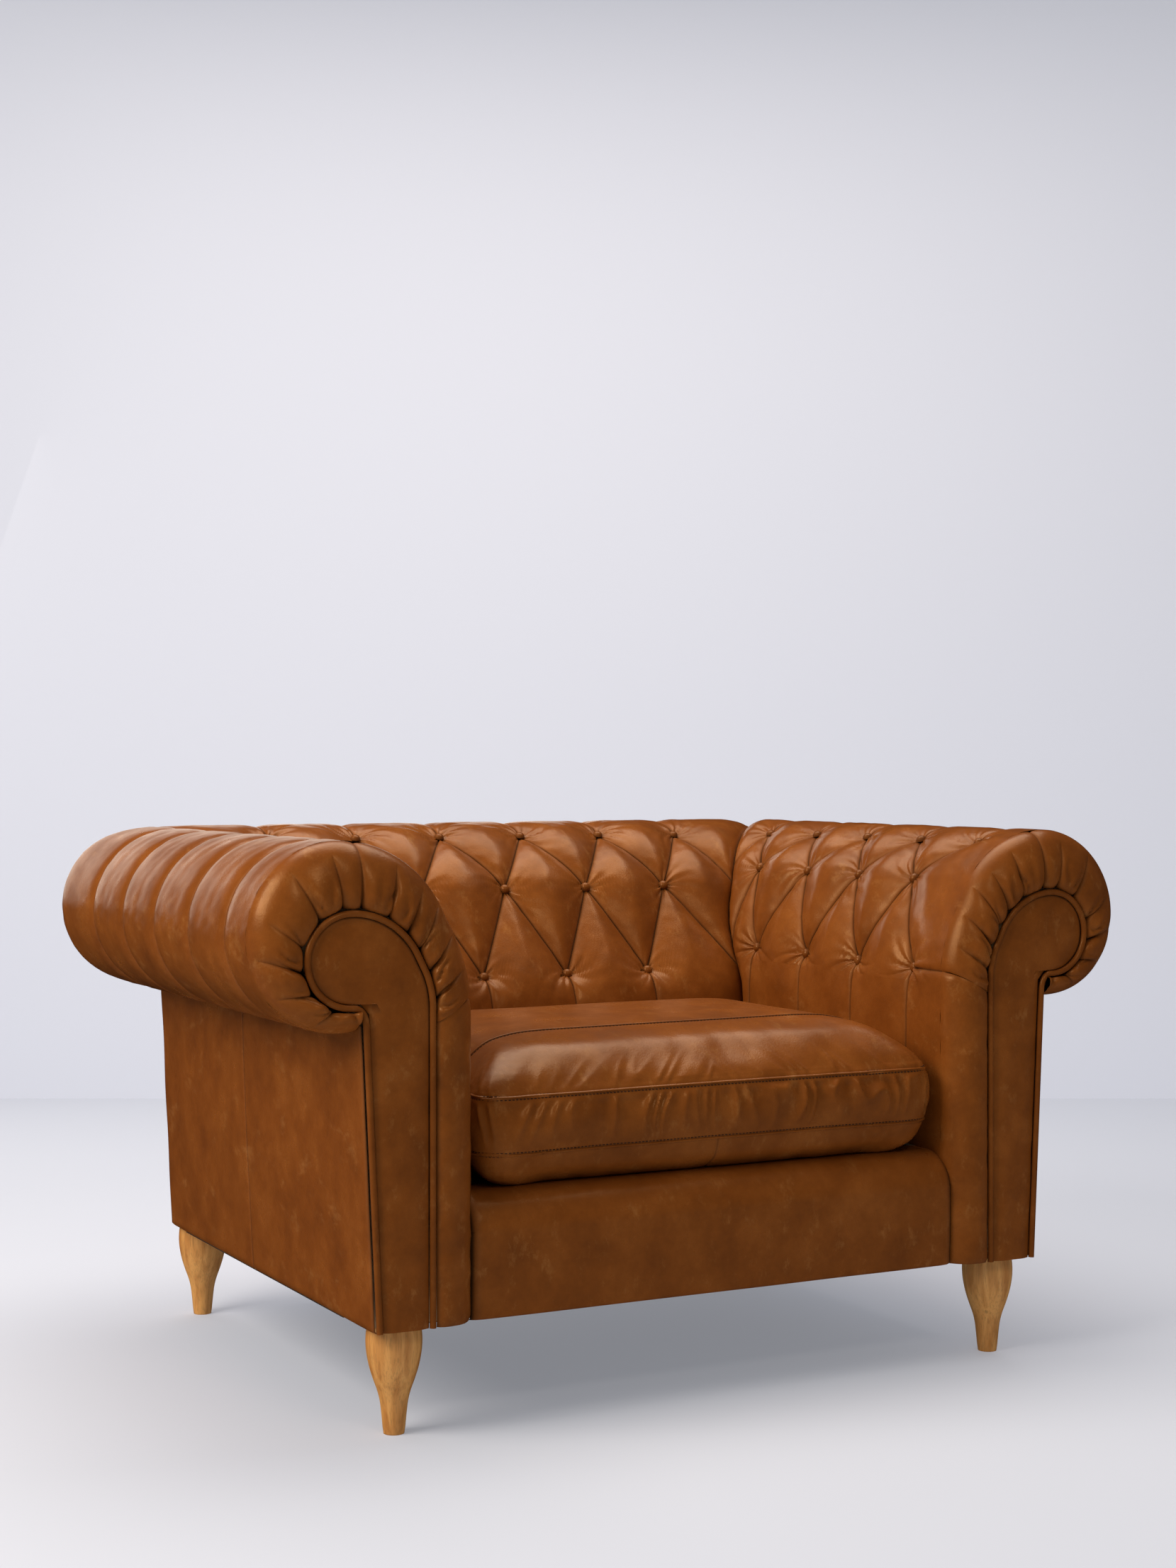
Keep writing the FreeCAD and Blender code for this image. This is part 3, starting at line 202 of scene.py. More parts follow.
hide = makeLeather("waxed_cowhide")
hidePiping = makeLeather("waxed_cowhide_piping", 0.86)
hideButton = makeLeather("waxed_cowhide_button", 0.8)
oak = makeWood("oiled_oak", "#dda055", "#bd7c36", 0.42)
frameWood = makeWood("sawn_beech", "#c9a67c", "#a9845a", 0.7)
liningCloth = makeCloth("lining_cloth", "#4a3a2e", "#241a13")
webCloth = makeCloth("jute_webbing", "#7c6a50", "#4a3d2b")
threadCloth = makeCloth("stitching_thread", "#3a1d0a", "#241003")
zinc = makeSteel("zinc_steel")
print("materials ready")


def gridFaces(rows, columns, closed=False):
    # four-sided faces of a rows by columns net of points
    index = np.arange(rows * columns).reshape(rows, columns)
    if closed:
        index = np.concatenate([index, index[:, :1]], axis=1)
    return np.stack([index[:-1, :-1], index[:-1, 1:], index[1:, 1:], index[1:, :-1]], axis=-1).reshape(-1, 4)


def makePiece(name, patches, material, body="chair", flip=False, merge=True, mirror=False):
    # patches are (points in mm, faces, painted shade) and become one mesh in metres; the painted shade is
    # kept on the points
    points, faces, tucks, start = [], [], [], 0
    for spots, quads, tuck in patches:
        points.append(spots.reshape(-1, 3))
        faces.append(quads + start)
        tucks.append(np.broadcast_to(tuck, spots.shape[:-1]).reshape(-1))
        start += len(points[-1])
    points, faces, tucks = np.concatenate(points) * mm, np.concatenate(faces), np.concatenate(tucks)
    if mirror:
        points = points * (-1, 1, 1)
    if flip != mirror:
        faces = faces[:, ::-1]
    mesh = bpy.data.meshes.new(name)
    mesh.from_pydata(points.tolist(), [], faces.tolist())
    mesh.attributes.new("tuck", "FLOAT", "POINT").data.foreach_set("value", tucks.astype(np.float32))
    if merge:
        work = bmesh.new()
        work.from_mesh(mesh)
        bmesh.ops.remove_doubles(work, verts=work.verts, dist=0.00004)
        bmesh.ops.dissolve_degenerate(work, edges=work.edges, dist=0.00001)
        work.to_mesh(mesh)
        work.free()
    mesh.polygons.foreach_set("use_smooth", np.ones(len(mesh.polygons), bool))
    mesh.materials.append(material)
    piece = bpy.data.objects.new(name, mesh)
    scene.collection.objects.link(piece)
    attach(piece, body)
    return piece


def eased(count, pull=0.75):
    # steps from 0 to 1 that crowd towards both ends
    even = np.linspace(0, 1, count)
    return even - pull * np.sin(2 * np.pi * even) / (2 * np.pi)


def wobble(a, b, seed, count=7, low=0.01, high=0.05):
    # a smooth uneven surface from a few crossing waves, about -1 to 1
    dice = np.random.default_rng(seed)
    total = 0
    for _ in range(count):
        turn, wave, shift = dice.uniform(0, 6.28), dice.uniform(low, high), dice.uniform(0, 6.28)
        total = total + np.sin(wave * (a * math.cos(turn) + b * math.sin(turn)) * 6.28 + shift)
    return total / count ** 0.5 / 1.4


def unit(vectors):
    # the same directions with length 1
    return vectors / np.maximum(np.linalg.norm(vectors, axis=-1, keepdims=True), 1e-9)


def evened(line, reach, mode="edge"):
    # running mean over some steps to either side
    return np.convolve(np.pad(line, reach, mode=mode), np.ones(2 * reach + 1) / (2 * reach + 1), mode="valid")


# section curves: up the inside face, over the crest and round the roll, by length along the curve
def makeSection(crest, top, sweep, lean, straight, hip, roll):
    # an arc of radius hip turns from upright to the lean, then come a straight, an arc of radius sweep to
    # the crest and an arc of radius roll beyond it; the crest is at (crest, top), and the lower end is
    # worked out from it
    lean = math.radians(lean)
    along = sweep * math.cos(lean) + straight * math.sin(lean)
    up = sweep * (1 - math.sin(lean)) + straight * math.cos(lean)
    section = dict(crest=crest, top=top, sweep=sweep, lean=lean, straight=straight, hip=hip, roll=roll)
    section["face"] = crest - along - hip * (1 - math.cos(lean))
    section["hipHeight"] = top - up - hip * math.sin(lean)
    section["hipEnd"] = hip * lean
    section["sweepStart"] = section["hipEnd"] + straight
    section["sweepEnd"] = section["sweepStart"] + sweep * (math.pi / 2 - lean)
    return section


def lengthAt(section, angle):
    # length along the curve where it has turned by an angle in degrees: radius times turn, arc after arc
    turn = math.radians(angle)
    if turn <= section["lean"]:
        return section["hip"] * turn
    if turn <= math.pi / 2:
        return section["sweepStart"] + section["sweep"] * (turn - section["lean"])
    return section["sweepEnd"] + section["roll"] * (turn - math.pi / 2)


def sectionPoint(section, length, inset):
    # across and up at a length, moved square to the curve by inset towards the filling
    s = section
    hipTurn = np.clip(length, 0, s["hipEnd"]) / s["hip"]
    rest = np.clip(length - s["hipEnd"], 0, s["straight"])
    across = s["face"] + s["hip"] * (1 - np.cos(hipTurn)) + rest * np.sin(hipTurn)
    up = s["hipHeight"] + np.minimum(length, 0) + s["hip"] * np.sin(hipTurn) + rest * np.cos(hipTurn)
    onRoll = length > s["sweepEnd"]
    radius = np.where(onRoll, s["roll"], s["sweep"])
    bend = np.where(onRoll, math.pi / 2 + (length - s["sweepEnd"]) / s["roll"],
                    s["lean"] + (length - s["sweepStart"]) / s["sweep"])
    curved = length > s["sweepStart"]
    turn = np.where(curved, bend, hipTurn)
    across = np.where(curved, s["crest"] - radius * np.cos(bend), across)
    up = np.where(curved, s["top"] - radius * (1 - np.sin(bend)), up)
    return across + inset * np.cos(turn), up - inset * np.sin(turn), turn


arm = makeSection(crest=552, top=757, sweep=155, lean=27, straight=40, hip=220, roll=121)
back = makeSection(crest=850, top=757, sweep=200, lean=30, straight=144, hip=180, roll=121)
facing = makeSection(crest=546, top=667, sweep=100, lean=27, straight=20, hip=108, roll=59)
# rows of the tufting from the seat up and over the roll, and the curve's turn in degrees at all but the
# first
rowNumbers = range(9)
base, hip, low, mid, top, crest, outer, under, end = rowNumbers
armAngles = [0, 5, 36, 72, 90, 180, 270, 276]
backAngles = [0, 29, 32, 72, 90, 180, 223.5, 267]
for section, angles in ((arm, armAngles), (back, backAngles)):
    section["rows"] = np.array([chair["hem"] - section["hipHeight"]] + [lengthAt(section, a) for a in angles])

# how deep the leather is drawn in, half the width and the roundness of each kind of tuck, and the folds at
# buttons
tufts = dict(button=26.0, topButton=20.0, pit=18.0, line=1.9, fall=0.8, highest=-2.0, deepest=29.0,
             pleat=19.0, pleatHalf=62.0, pleatRound=1.6, flute=5.5, fluteHalf=66.0, fluteRound=5.5,
             seam=3.5, seamHalf=14.0, seamRound=3.0, fold=19.0, foldHalf=72.0, foldRound=2.2, foldLine=3.0,
             foldCalm=25.0, wrinkle=17.0, wrinkleReach=23.0, wrinkleStart=9.0, ripple=0.35,
             blend=3.0, overrun=20.0)
pleatKind, fluteKind, seamKind = [tuple(tufts[kind + part] for part in ("", "Half", "Round"))
                                  for kind in ("pleat", "flute", "seam")]


def reachTable(section, other, steps=900, margin=5, below=120):
    # how far a run goes before it meets its neighbour, by length along its own curve: the neighbour's face
    # at the same height inside the crest, and an eighth of a turn round the ball outside it
    lengths = np.linspace(section["rows"][base] - margin, section["rows"][end] + margin, steps)
    across, height, _ = sectionPoint(section, lengths, tufts["fold"])
    theirs = np.linspace(other["rows"][base] - below, other["sweepEnd"], steps)
    theirAcross, theirHeight, _ = sectionPoint(other, theirs, tufts["fold"])
    inner = np.interp(height, theirHeight, theirAcross)
    outside = sectionPoint(section, lengths, 0)[0] - section["crest"]
    return lengths, np.where(lengths > section["sweepEnd"], other["crest"] + outside * math.pi / 4, inner)


arm["reach"] = reachTable(arm, back)
back["reach"] = reachTable(back, arm)


def reachAt(section, length):
    # the table's reach at a length
    return np.interp(length, *section["reach"])


def creaseDepth(along, length, creases, fold=None):
    # depth of the leather and nearness to a tuck's bottom. Each tuck leaves a rise from 0 on its line to 1
    # at its half width; the pillow between them rises by 1 / (1 + root of the summed squares of (1 - rise)
    # / rise), which rounds its ridges, and what doesn't rise stays at the depth of the tucks, each weighed
    # by nearness
    tucks = [(*fold, tufts["foldHalf"], tufts["foldRound"])] if fold else []
    for alongA, lengthA, depthA, alongB, lengthB, depthB, floor, half, curve in creases:
        da, dl = alongB - alongA, lengthB - lengthA
        span = math.hypot(da, dl)
        share = np.clip(((along - alongA) * da + (length - lengthA) * dl) / span ** 2, 0, 1)
        away = np.hypot(along - alongA - share * da, length - lengthA - share * dl)
        depth = floor + (depthA - floor) * np.exp(-share * span / tufts["pit"])
        depth = depth + (depthB - floor) * np.exp(-(1 - share) * span / tufts["pit"])
        tucks.append((away, depth, half, curve))
    steep, deep, weights, nearest = [np.zeros_like(along) for _ in range(4)]
    for away, depth, half, curve in tucks:
        rise = np.maximum((1 - np.clip(1 - away / half, 0, 1) ** curve) ** tufts["fall"], 1e-4)
        steep += ((1 - rise) / rise) ** 2
        weight = 1 / (away + tufts["blend"]) ** 3
        deep, weights = deep + depth * weight, weights + weight
        nearest = np.maximum(nearest, np.exp(-away / tufts["line"]))
    return deep / weights * (1 - 1 / (1 + np.sqrt(steep))), nearest


def pinch(along, length, buttons, seed):
    # short folds that fan out from each button: ridges of a sine of the turn round it, a little bent,
    # strongest to its sides, rising from nothing at the button and dying away with distance
    dice = np.random.default_rng(seed)
    total = np.zeros_like(along)
    for alongB, lengthB in buttons:
        da, dl = along - alongB, length - lengthB
        away, turn = np.hypot(da, dl), np.arctan2(dl, da)
        folds, shift, side = dice.integers(6, 8), dice.uniform(0, 6.28), dice.uniform(-0.5, 0.7)
        strength = 0.2 + 0.8 * np.abs(np.cos(turn - side)) ** 3
        bend = 0.01 * away * math.sin(shift)
        ridge = 0.5 - np.abs(np.sin(folds * (turn + bend) + shift)) ** 0.8
        reach = np.exp(-away / tufts["wrinkleReach"]) * away / (away + tufts["wrinkleStart"])
        total += strength * ridge * reach
    return total * tufts["wrinkle"]


def runPoint(section, other, along, length, inset):
    # a run is straight up to the neighbour's crest and turns outside it in an eighth of a ball
    across, height, _ = sectionPoint(section, length, inset)
    outside = across - section["crest"]
    far = (outside > 1) & (np.abs(along) > other["crest"])
    turn = np.where(far, (np.abs(along) - other["crest"]) / np.where(far, outside, 1), 0)
    across = np.where(far, section["crest"] + outside * np.cos(turn), across)
    along = np.sign(along) * np.where(far, other["crest"] + outside * np.sin(turn), np.abs(along))
    return across, along, height


mitre = 9999.0  # stands in a cell for the mitred fold, wherever the row meets it


def runPatches(section, other, cells, creases, buttons, seed, place):
    # each cell of the tufting is a net between four corners, crowded along its tucks. Row and place along
    # the run are blended from the corners; the depth is that of the tucks, button folds and a slow ripple,
    # drawn into the fold
    patches = []
    for cell, stepsAcross, stepsUp in cells:
        a, b = np.meshgrid(eased(stepsAcross), eased(stepsUp))
        weights = [(1 - a) * (1 - b), a * (1 - b), a * b, (1 - a) * b]
        rowNumber = sum(weight * node[1] for weight, node in zip(weights, cell))
        length = np.interp(rowNumber, rowNumbers, section["rows"])
        reach = reachAt(section, length)
        along = sum(weight * (node[0] if abs(node[0]) < mitre else np.sign(node[0]) * reach)
                    for weight, node in zip(weights, cell))
        toFold = np.clip(reach - (along if section is arm else np.abs(along)), 0, None)
        foldDepth = np.interp(length, [section["sweepEnd"], section["rows"][outer]],
                              [tufts["fold"], tufts["flute"]])
        depth, nearest = creaseDepth(along, length, creases, (toFold, foldDepth))
        depth = depth + pinch(along, length, buttons, seed) * np.clip(toFold / tufts["foldCalm"], 0, 1)
        depth = depth + tufts["ripple"] * wobble(along, length, seed + 5)
        near = np.exp(-toFold / tufts["foldLine"])
        depth = np.clip(depth * (1 - near) + foldDepth * near, tufts["highest"], tufts["deepest"])
        across, run, height = runPoint(section, other, along, length, depth)
        # painted shade: darkest at the bottom of a tuck, and a little darker with depth
        tuck = np.clip(0.85 * np.maximum(nearest, near) + 0.3 * (depth / 24) ** 2, 0, 1)
        patches.append((place(across, run, height), gridFaces(*a.shape), tuck))
    return patches


def tuftCreases(section, links, lows, tops):
    # a crease has along, length and depth for both ends, then floor, half width and roundness. Links are
    # pairs of (row, along) joined by a pleat; seams run down from the low buttons and flutes up from the
    # top ones
    rows = section["rows"]
    depthAt = {low: tufts["button"], mid: tufts["button"], top: tufts["topButton"]}
    creases = []
    for (rowA, alongA), (rowB, alongB) in links:
        creases.append((alongA, rows[rowA], depthAt[rowA], alongB, rows[rowB], depthAt[rowB], *pleatKind))
    hem, rollEnd = rows[base] - tufts["overrun"], rows[end] + tufts["overrun"]
    for along in lows:
        creases.append((along, hem, tufts["flute"], along, rows[low], tufts["button"], *fluteKind))
    for along in tops:
        creases.append((along, rows[top], tufts["topButton"], along, rollEnd, tufts["flute"], *fluteKind))
    return creases


def endCreases(section, midEnd, topEnd, sides):
    # pleats from the last middle and top buttons down into the mitred fold
    rows = section["rows"]
    creases = []
    for side in sides:
        for row, along, meets in ((mid, midEnd, low), (top, topEnd, mid)):
            reach = side * float(reachAt(section, rows[meets]))
            creases.append((side * along, rows[row], tufts["button"], reach, rows[meets], tufts["fold"],
                            *pleatKind))
    return creases


def buttonPlaces(section, lows, mids, tops):
    # along and length of every button
    return [(along, section["rows"][row]) for row, places in ((low, lows), (mid, mids), (top, tops))
            for along in places]


def strip(left, right, rows):
    # one cell on each row between two places along the run
    return [((left, row), (right, row), (right, row + 1), (left, row + 1)) for row in rows]


def houseCells(left, middle, right):
    # below the diamonds: two halves of a gable between two seams, with its top at a middle button
    return strip(left, middle, [base]) + strip(middle, right, [base]) + [
        ((left, hip), (middle, hip), (middle, mid), (left, low)),
        ((middle, hip), (right, hip), (right, low), (middle, mid))]


def fluteCells(left, middle, right):
    # above the diamonds: from a middle button between two top ones over the crest to the end of the roll
    cells = [((left, top), (middle, mid), (middle, crest), (left, crest)),
             ((middle, mid), (right, top), (right, crest), (middle, crest))]
    return cells + strip(left, middle, range(crest, end)) + strip(middle, right, range(crest, end))


def sized(cells):
    # steps across and up for each cell: most where the buttons are, fewer over the roll's long quarters,
    # and few on its last short stretch and below the seat
    stepsUp = {base: 8, crest: 34, outer: 30, under: 8}
    cells = [(cell, min(node[1] for node in cell)) for cell in cells]
    return [(cell, 40 if hip <= lowest < crest else 24, stepsUp.get(lowest, 44)) for cell, lowest in cells]


def armPlace(across, run, height):
    # an arm's section stands across the chair and its run goes back from the front
    return np.stack([across, chair["front"] + run, height], axis=-1)


def backPlace(across, run, height):
    # the back's section stands front to back and its run goes across
    return np.stack([run, chair["front"] + across, height], axis=-1)


pitch, shoulder = chair["pitch"], chair["shoulder"]
lows = [chair["firstButton"] + k * pitch for k in range(4)]
mids = [chair["firstButton"] + (k + 0.5) * pitch for k in range(4)]
tops = [chair["firstButton"] + k * pitch for k in range(5)]
armLinks = [((low, lows[k]), (mid, mids[k])) for k in range(4)]
armLinks += [((mid, mids[k]), (low, lows[k + 1])) for k in range(3)]
armLinks += [((mid, mids[k]), (top, tops[k + step])) for k in range(4) for step in (0, 1)]
armCreases = tuftCreases(arm, armLinks, lows, tops) + endCreases(arm, mids[3], tops[4], [1])
# the seam that closes the arm's front runs level from its first button to just past the shoulder
seamLength, seamStart = arm["rows"][low], shoulder - 5
armCreases.append((seamStart, seamLength, tufts["seam"], lows[0], seamLength, tufts["button"], *seamKind))
armButtons = buttonPlaces(arm, lows, mids, tops)
armCells = strip(shoulder, lows[0], [base, hip]) + strip(lows[3], mitre, [base, hip])
armCells.append(((shoulder, low), (lows[0], low), (mids[0], mid), (shoulder, mid)))
armCells.append(((shoulder, mid), (mids[0], mid), (tops[0], top), (shoulder, top)))
armCells += strip(shoulder, tops[0], range(top, end))
for k in range(4):
    armCells += fluteCells(tops[k], mids[k], tops[k + 1])
for k in range(3):
    armCells += houseCells(lows[k], mids[k], lows[k + 1])
    armCells.append(((lows[k + 1], low), (mids[k + 1], mid), (tops[k + 1], top), (mids[k], mid)))
armCells.append(((lows[3], low), (mitre, low), (mids[3], mid), (mids[3], mid)))
armCells.append(((mids[3], mid), (mitre, low), (mitre, mid), (tops[4], top)))
armCells.append(((tops[4], top), (mitre, mid), (mitre, crest), (tops[4], crest)))
armCells += strip(tops[4], mitre, range(crest, end))

backLows = [(k - 1.5) * pitch for k in range(4)]
backMids = [(k - 2) * pitch for k in range(5)]
backTops = [(k - 2.5) * pitch for k in range(6)]
backLinks = [((low, backLows[k]), (mid, backMids[k + step])) for k in range(4) for step in (0, 1)]
backLinks += [((mid, backMids[k]), (top, backTops[k + step])) for k in range(5) for step in (0, 1)]
backCreases = tuftCreases(back, backLinks, backLows, backTops)
backCreases += endCreases(back, backMids[4], backTops[5], [-1, 1])
backButtons = buttonPlaces(back, backLows, backMids, backTops)
backCells = []
for left, middle, right in zip([-mitre] + backLows, backMids, backLows + [mitre]):
    backCells += houseCells(left, middle, right)
for left, middle, right in zip(backMids, backLows, backMids[1:]):
    backCells.append(((middle, low), (right, mid), (middle, top), (left, mid)))
for left, middle, right in zip(backTops, backMids, backTops[1:]):
    backCells += fluteCells(left, middle, right)
for side in (-1, 1):
    midEnd, topEnd, edge = side * backMids[4], side * backTops[5], side * mitre
    ends = [((midEnd, mid), (edge, low), (edge, mid), (topEnd, top)),
            ((topEnd, top), (edge, mid), (edge, crest), (topEnd, crest))]
    ends += strip(topEnd, edge, range(crest, end))
    # the left end is listed the other way round so that its faces turn outwards too
    backCells += ends if side > 0 else [(b, a, d, c) for a, b, c, d in ends]

# gathered front of the arm: a quarter-round shoulder from the roll in to the piping, pleated where it is
# gathered
gather = dict(pleats=12, depth=9.5, line=1.4, valley=7.0, jitter=0.14, starts=(0.16, 0.42), bulge=6.0,
              seamPleat=5, sweepTurn=113.0, inset=4.4, fineStep=5.4, fineDepth=6.4, tuckIn=3.0,
              seamHeight=526.0, seamDip=0.8, seamLine=2.0, endAngle=281.0)
# the facing is upright at the seam, so length is height there; nothing is gathered on the rows below it
facing["rows"] = np.array([gather["seamHeight"] - facing["hipHeight"]] * 3
                          + [lengthAt(facing, angle) for angle in armAngles[2:-1] + [gather["endAngle"]]])


def ringPoint(share, armLength, facingLength):
    # share 0 is at the shoulder and 1 at the piping; the way round is a quarter ellipse that turns a little
    # inwards
    drawnIn = creaseDepth(np.full_like(armLength, shoulder), armLength, armCreases)[0]
    outerAcross, outerUp, _ = sectionPoint(arm, armLength, drawnIn)
    innerAcross, innerUp, _ = sectionPoint(facing, facingLength, -gather["inset"])
    turn = np.radians(gather["sweepTurn"]) * share
    blend = (1 - np.cos(turn)) / (1 - math.cos(math.radians(gather["sweepTurn"])))
    depth = shoulder - (shoulder + chair["proud"]) * np.sin(turn)
    return armPlace(outerAcross * (1 - blend) + innerAcross * blend, depth,
                    outerUp * (1 - blend) + innerUp * blend)


def outwardOf(points):
    # unit normals of a net of points
    return unit(np.cross(np.gradient(points, axis=1), np.gradient(points, axis=0)))


def seamDip(away, share):
    # the level seam between the gathers and the border: drawn in on its line, but not at the shoulder
    return gather["seamDip"] * np.exp(-away / gather["seamLine"]) * np.clip(share / 0.15, 0, 1)


def ringPatch():
    # rows go round the head from the seam to the roll's end, crowded at the pleats, and columns from the
    # shoulder to the piping; each point moves in by pleats, fine gathers and the tuck at the piping, and
    # out by a swelling
    count = gather["pleats"]
    lengths = np.linspace(0, 1, 2000)
    facingLengths = np.interp(low + lengths * (end - low), rowNumbers, facing["rows"])
    wholeGirth = facingLengths[-1] - facingLengths[0]
    dice = np.random.default_rng(11)
    jitter = dice.uniform(-gather["jitter"], gather["jitter"], count)
    places = (np.arange(count) + 1.1 + jitter) / (count + 1.2)
    stops = np.concatenate([[0], places, [1]])
    spread = np.concatenate([a + (b - a) * eased(19)[:-1] for a, b in zip(stops, stops[1:])] + [[1.0]])
    rows = np.interp(spread, (facingLengths - facingLengths[0]) / wholeGirth, lengths)
    s, r = np.meshgrid(eased(30, 0.45), np.interp(rows, [0, 1], [low, end]))
    points = ringPoint(s, np.interp(r, rowNumbers, arm["rows"]), np.interp(r, rowNumbers, facing["rows"]))
    normal = outwardOf(points)
    normal = normal * np.where(normal[..., 1:2] > 0, -1, 1) if np.median(normal[..., 1]) > 0 else normal
    # each pleat is a sharp line from the piping outwards in a soft valley
    girth = wholeGirth * np.repeat(spread[:, None], s.shape[1], axis=1)
    depth = np.zeros_like(s)
    for index, (place, start) in enumerate(zip(places, dice.uniform(*gather["starts"], count))):
        away = np.abs(girth - place * wholeGirth)
        fade = np.clip((s - start) / (1 - start), 0, 1) ** 0.7
        if index == gather["seamPleat"]:
            fade = np.maximum(fade, 0.35)
        line, valley = np.exp(-away / gather["line"]), np.exp(-(away / gather["valley"]) ** 2)
        depth += gather["depth"] * fade * (0.6 * line + 0.4 * valley)
    swell = gather["bulge"] * np.clip((s - 0.5) / 0.5, 0, 1) * np.sin(np.pi * s) ** 0.5
    fine = np.abs(np.sin(girth / gather["fineStep"] + 1.2 * wobble(girth, s * 60, 4))) ** 0.8 - 0.5
    fine = fine * -gather["fineDepth"] * np.clip((s - 0.52) / 0.3, 0, 1) * np.clip((1 - s) / 0.1, 0, 1)
    fine = fine * np.clip(0.7 + wobble(girth, s * 0, 6), 0, 1.3)
    tuckIn = gather["tuckIn"] * np.exp(-(1 - s) / 0.04)
    depth = depth - swell * 0.4 + fine + tuckIn + seamDip(girth, s)
    # painted shade: darker with the depth to which the pleats, gathers and tuck draw the leather in
    return points - normal * depth[..., None], gridFaces(*s.shape), np.clip(depth / 8.5, 0, 1)


sides = (("right", False), ("left", True))
armPatches = runPatches(arm, back, sized(armCells), armCreases, armButtons, 21, armPlace)
ring = ringPatch()
backPatches = runPatches(back, arm, sized(backCells), backCreases, backButtons, 33, backPlace)
coverPieces = []
for word, isLeft in sides:
    cover = makePiece(word + "ArmLeather", armPatches, hide, flip=True, mirror=isLeft)
    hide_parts(word + "_arm_cover", word + "_arm_pad")
    gathered = makePiece(word + "ArmGathers", [ring], hide, flip=True, mirror=isLeft)
    coverPieces += [cover, gathered]
backLeather = makePiece("backLeather", backPatches, hide)
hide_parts("back_cover", "back_pad")
print("tufted leather ready")

# covered buttons: low domes seated in their pits
buttonSize = dict(radius=8.2, height=5.0, edgeDrop=2.5, lift=7.5, deepest=27.0, steps=20, rings=8)


def buttonNet():
    # rings round a dome that falls with the 2.6th power of the way out, with its edge turned down
    around = np.linspace(0, 2 * np.pi, buttonSize["steps"], endpoint=False)
    turn, out = np.meshgrid(around, np.linspace(0, 1, buttonSize["rings"]))
    rise = buttonSize["height"] * (1 - out ** 2.6)
    rise = rise - buttonSize["edgeDrop"] * np.clip((out - 0.85) / 0.15, 0, 1)
    reach = buttonSize["radius"] * out
    return np.stack([reach * np.cos(turn), reach * np.sin(turn), rise], axis=-1)


def buttonPatches(section, other, buttons, creases, place):
    # the dome turned to face square out of the curve, lifted from the bottom of its pit
    net = buttonNet()
    faces = gridFaces(buttonSize["rings"], buttonSize["steps"], True)
    # painted shade: a dark ring round the dome's edge, where it sits down in its pit
    edge = np.clip((np.linalg.norm(net[..., :2], axis=-1) / buttonSize["radius"] - 0.7) / 0.3, 0, 1) * 0.7
    patches = []
    for along, length in np.array(buttons)[:, :, None]:
        depth = np.minimum(creaseDepth(along, length, creases)[0], buttonSize["deepest"]) - buttonSize["lift"]
        centre, ahead = [place(*runPoint(section, other, along, length, depth - out))[0] for out in (0, 10)]
        outwards = unit(ahead - centre)
        side = unit(np.cross(outwards, (0.0, 0.0, 1.0)))
        patches.append((centre + net @ np.stack([side, np.cross(outwards, side), outwards]), faces, edge))
    return patches


armButtonPatches = buttonPatches(arm, back, armButtons, armCreases, armPlace)
for word, isLeft in sides:
    piece = makePiece(word + "ArmButtons", armButtonPatches, hideButton, mirror=isLeft)
    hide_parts(word + "_arm_buttons")
piece = makePiece("backButtons", buttonPatches(back, arm, backButtons, backCreases, backPlace), hideButton)
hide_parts("back_buttons")
print("buttons ready")

panelHeight = chair["panelTop"] - chair["legTop"]


def sideAt(height):
    # how far out the side stands: it flares evenly from the legs to the top of the panel
    return chair["sideFoot"] + chair["sideFlare"] * (height - chair["legTop"]) / panelHeight


# padded strip beside the seat: the gathered shape carried down to the foot without pleats
def borderPatch():
    # both sections run from the foot to the seam; drawn in at the seam, at the piping and at the foot
    s, t = np.meshgrid(eased(26, 0.5), np.linspace(0, 1, 90) ** 0.9)
    armLength, facingLength = [chair["foot"] - section["hipHeight"]
                               + t * (section["rows"][low] - chair["foot"] + section["hipHeight"])
                               for section in (arm, facing)]
    points = ringPoint(s, armLength, facingLength)
    normal = outwardOf(points)
    normal = normal * np.where(np.median(normal[..., 1]) > 0, -1, 1)
    toSeam = (1 - t) * (arm["rows"][low] - armLength[0, 0])
    depth = seamDip(toSeam, s) + gather["tuckIn"] * np.exp(-(1 - s) / 0.06)
    depth += 0.6 * wobble(armLength, s * 60, 8) + 2.5 * np.exp(-(t * 400) / 4)
    # painted shade: darker where the strip is drawn in, at the seam, the piping and the foot
    return points - normal * depth[..., None], gridFaces(*s.shape), np.clip(depth / 6, 0, 1)


# padded facing: a net between the piping line and a middle line, crowned a little
panel = dict(crown=5.0, edge=2.5, gap=4.6, notch=14.0, sideGap=12.4, headUp=606.0, headAcross=545.0,
             inner=434.0, straightTo=556.0, bendFrom=470.0, ripple=0.5)


def facingOutline():
    # across and up along the piping line: up the inside, round the head to the notch, and down the outside
    lengths = np.linspace(chair["foot"] - facing["hipHeight"], lengthAt(facing, gather["endAngle"]), 260)
    across, up, _ = sectionPoint(facing, lengths, panel["gap"])
    downUp = np.linspace(up[-1] - panel["notch"], chair["foot"], 90)
    downAcross = sideAt(downUp) - panel["sideGap"]
    return np.concatenate([across, downAcross]), np.concatenate([up, downUp])


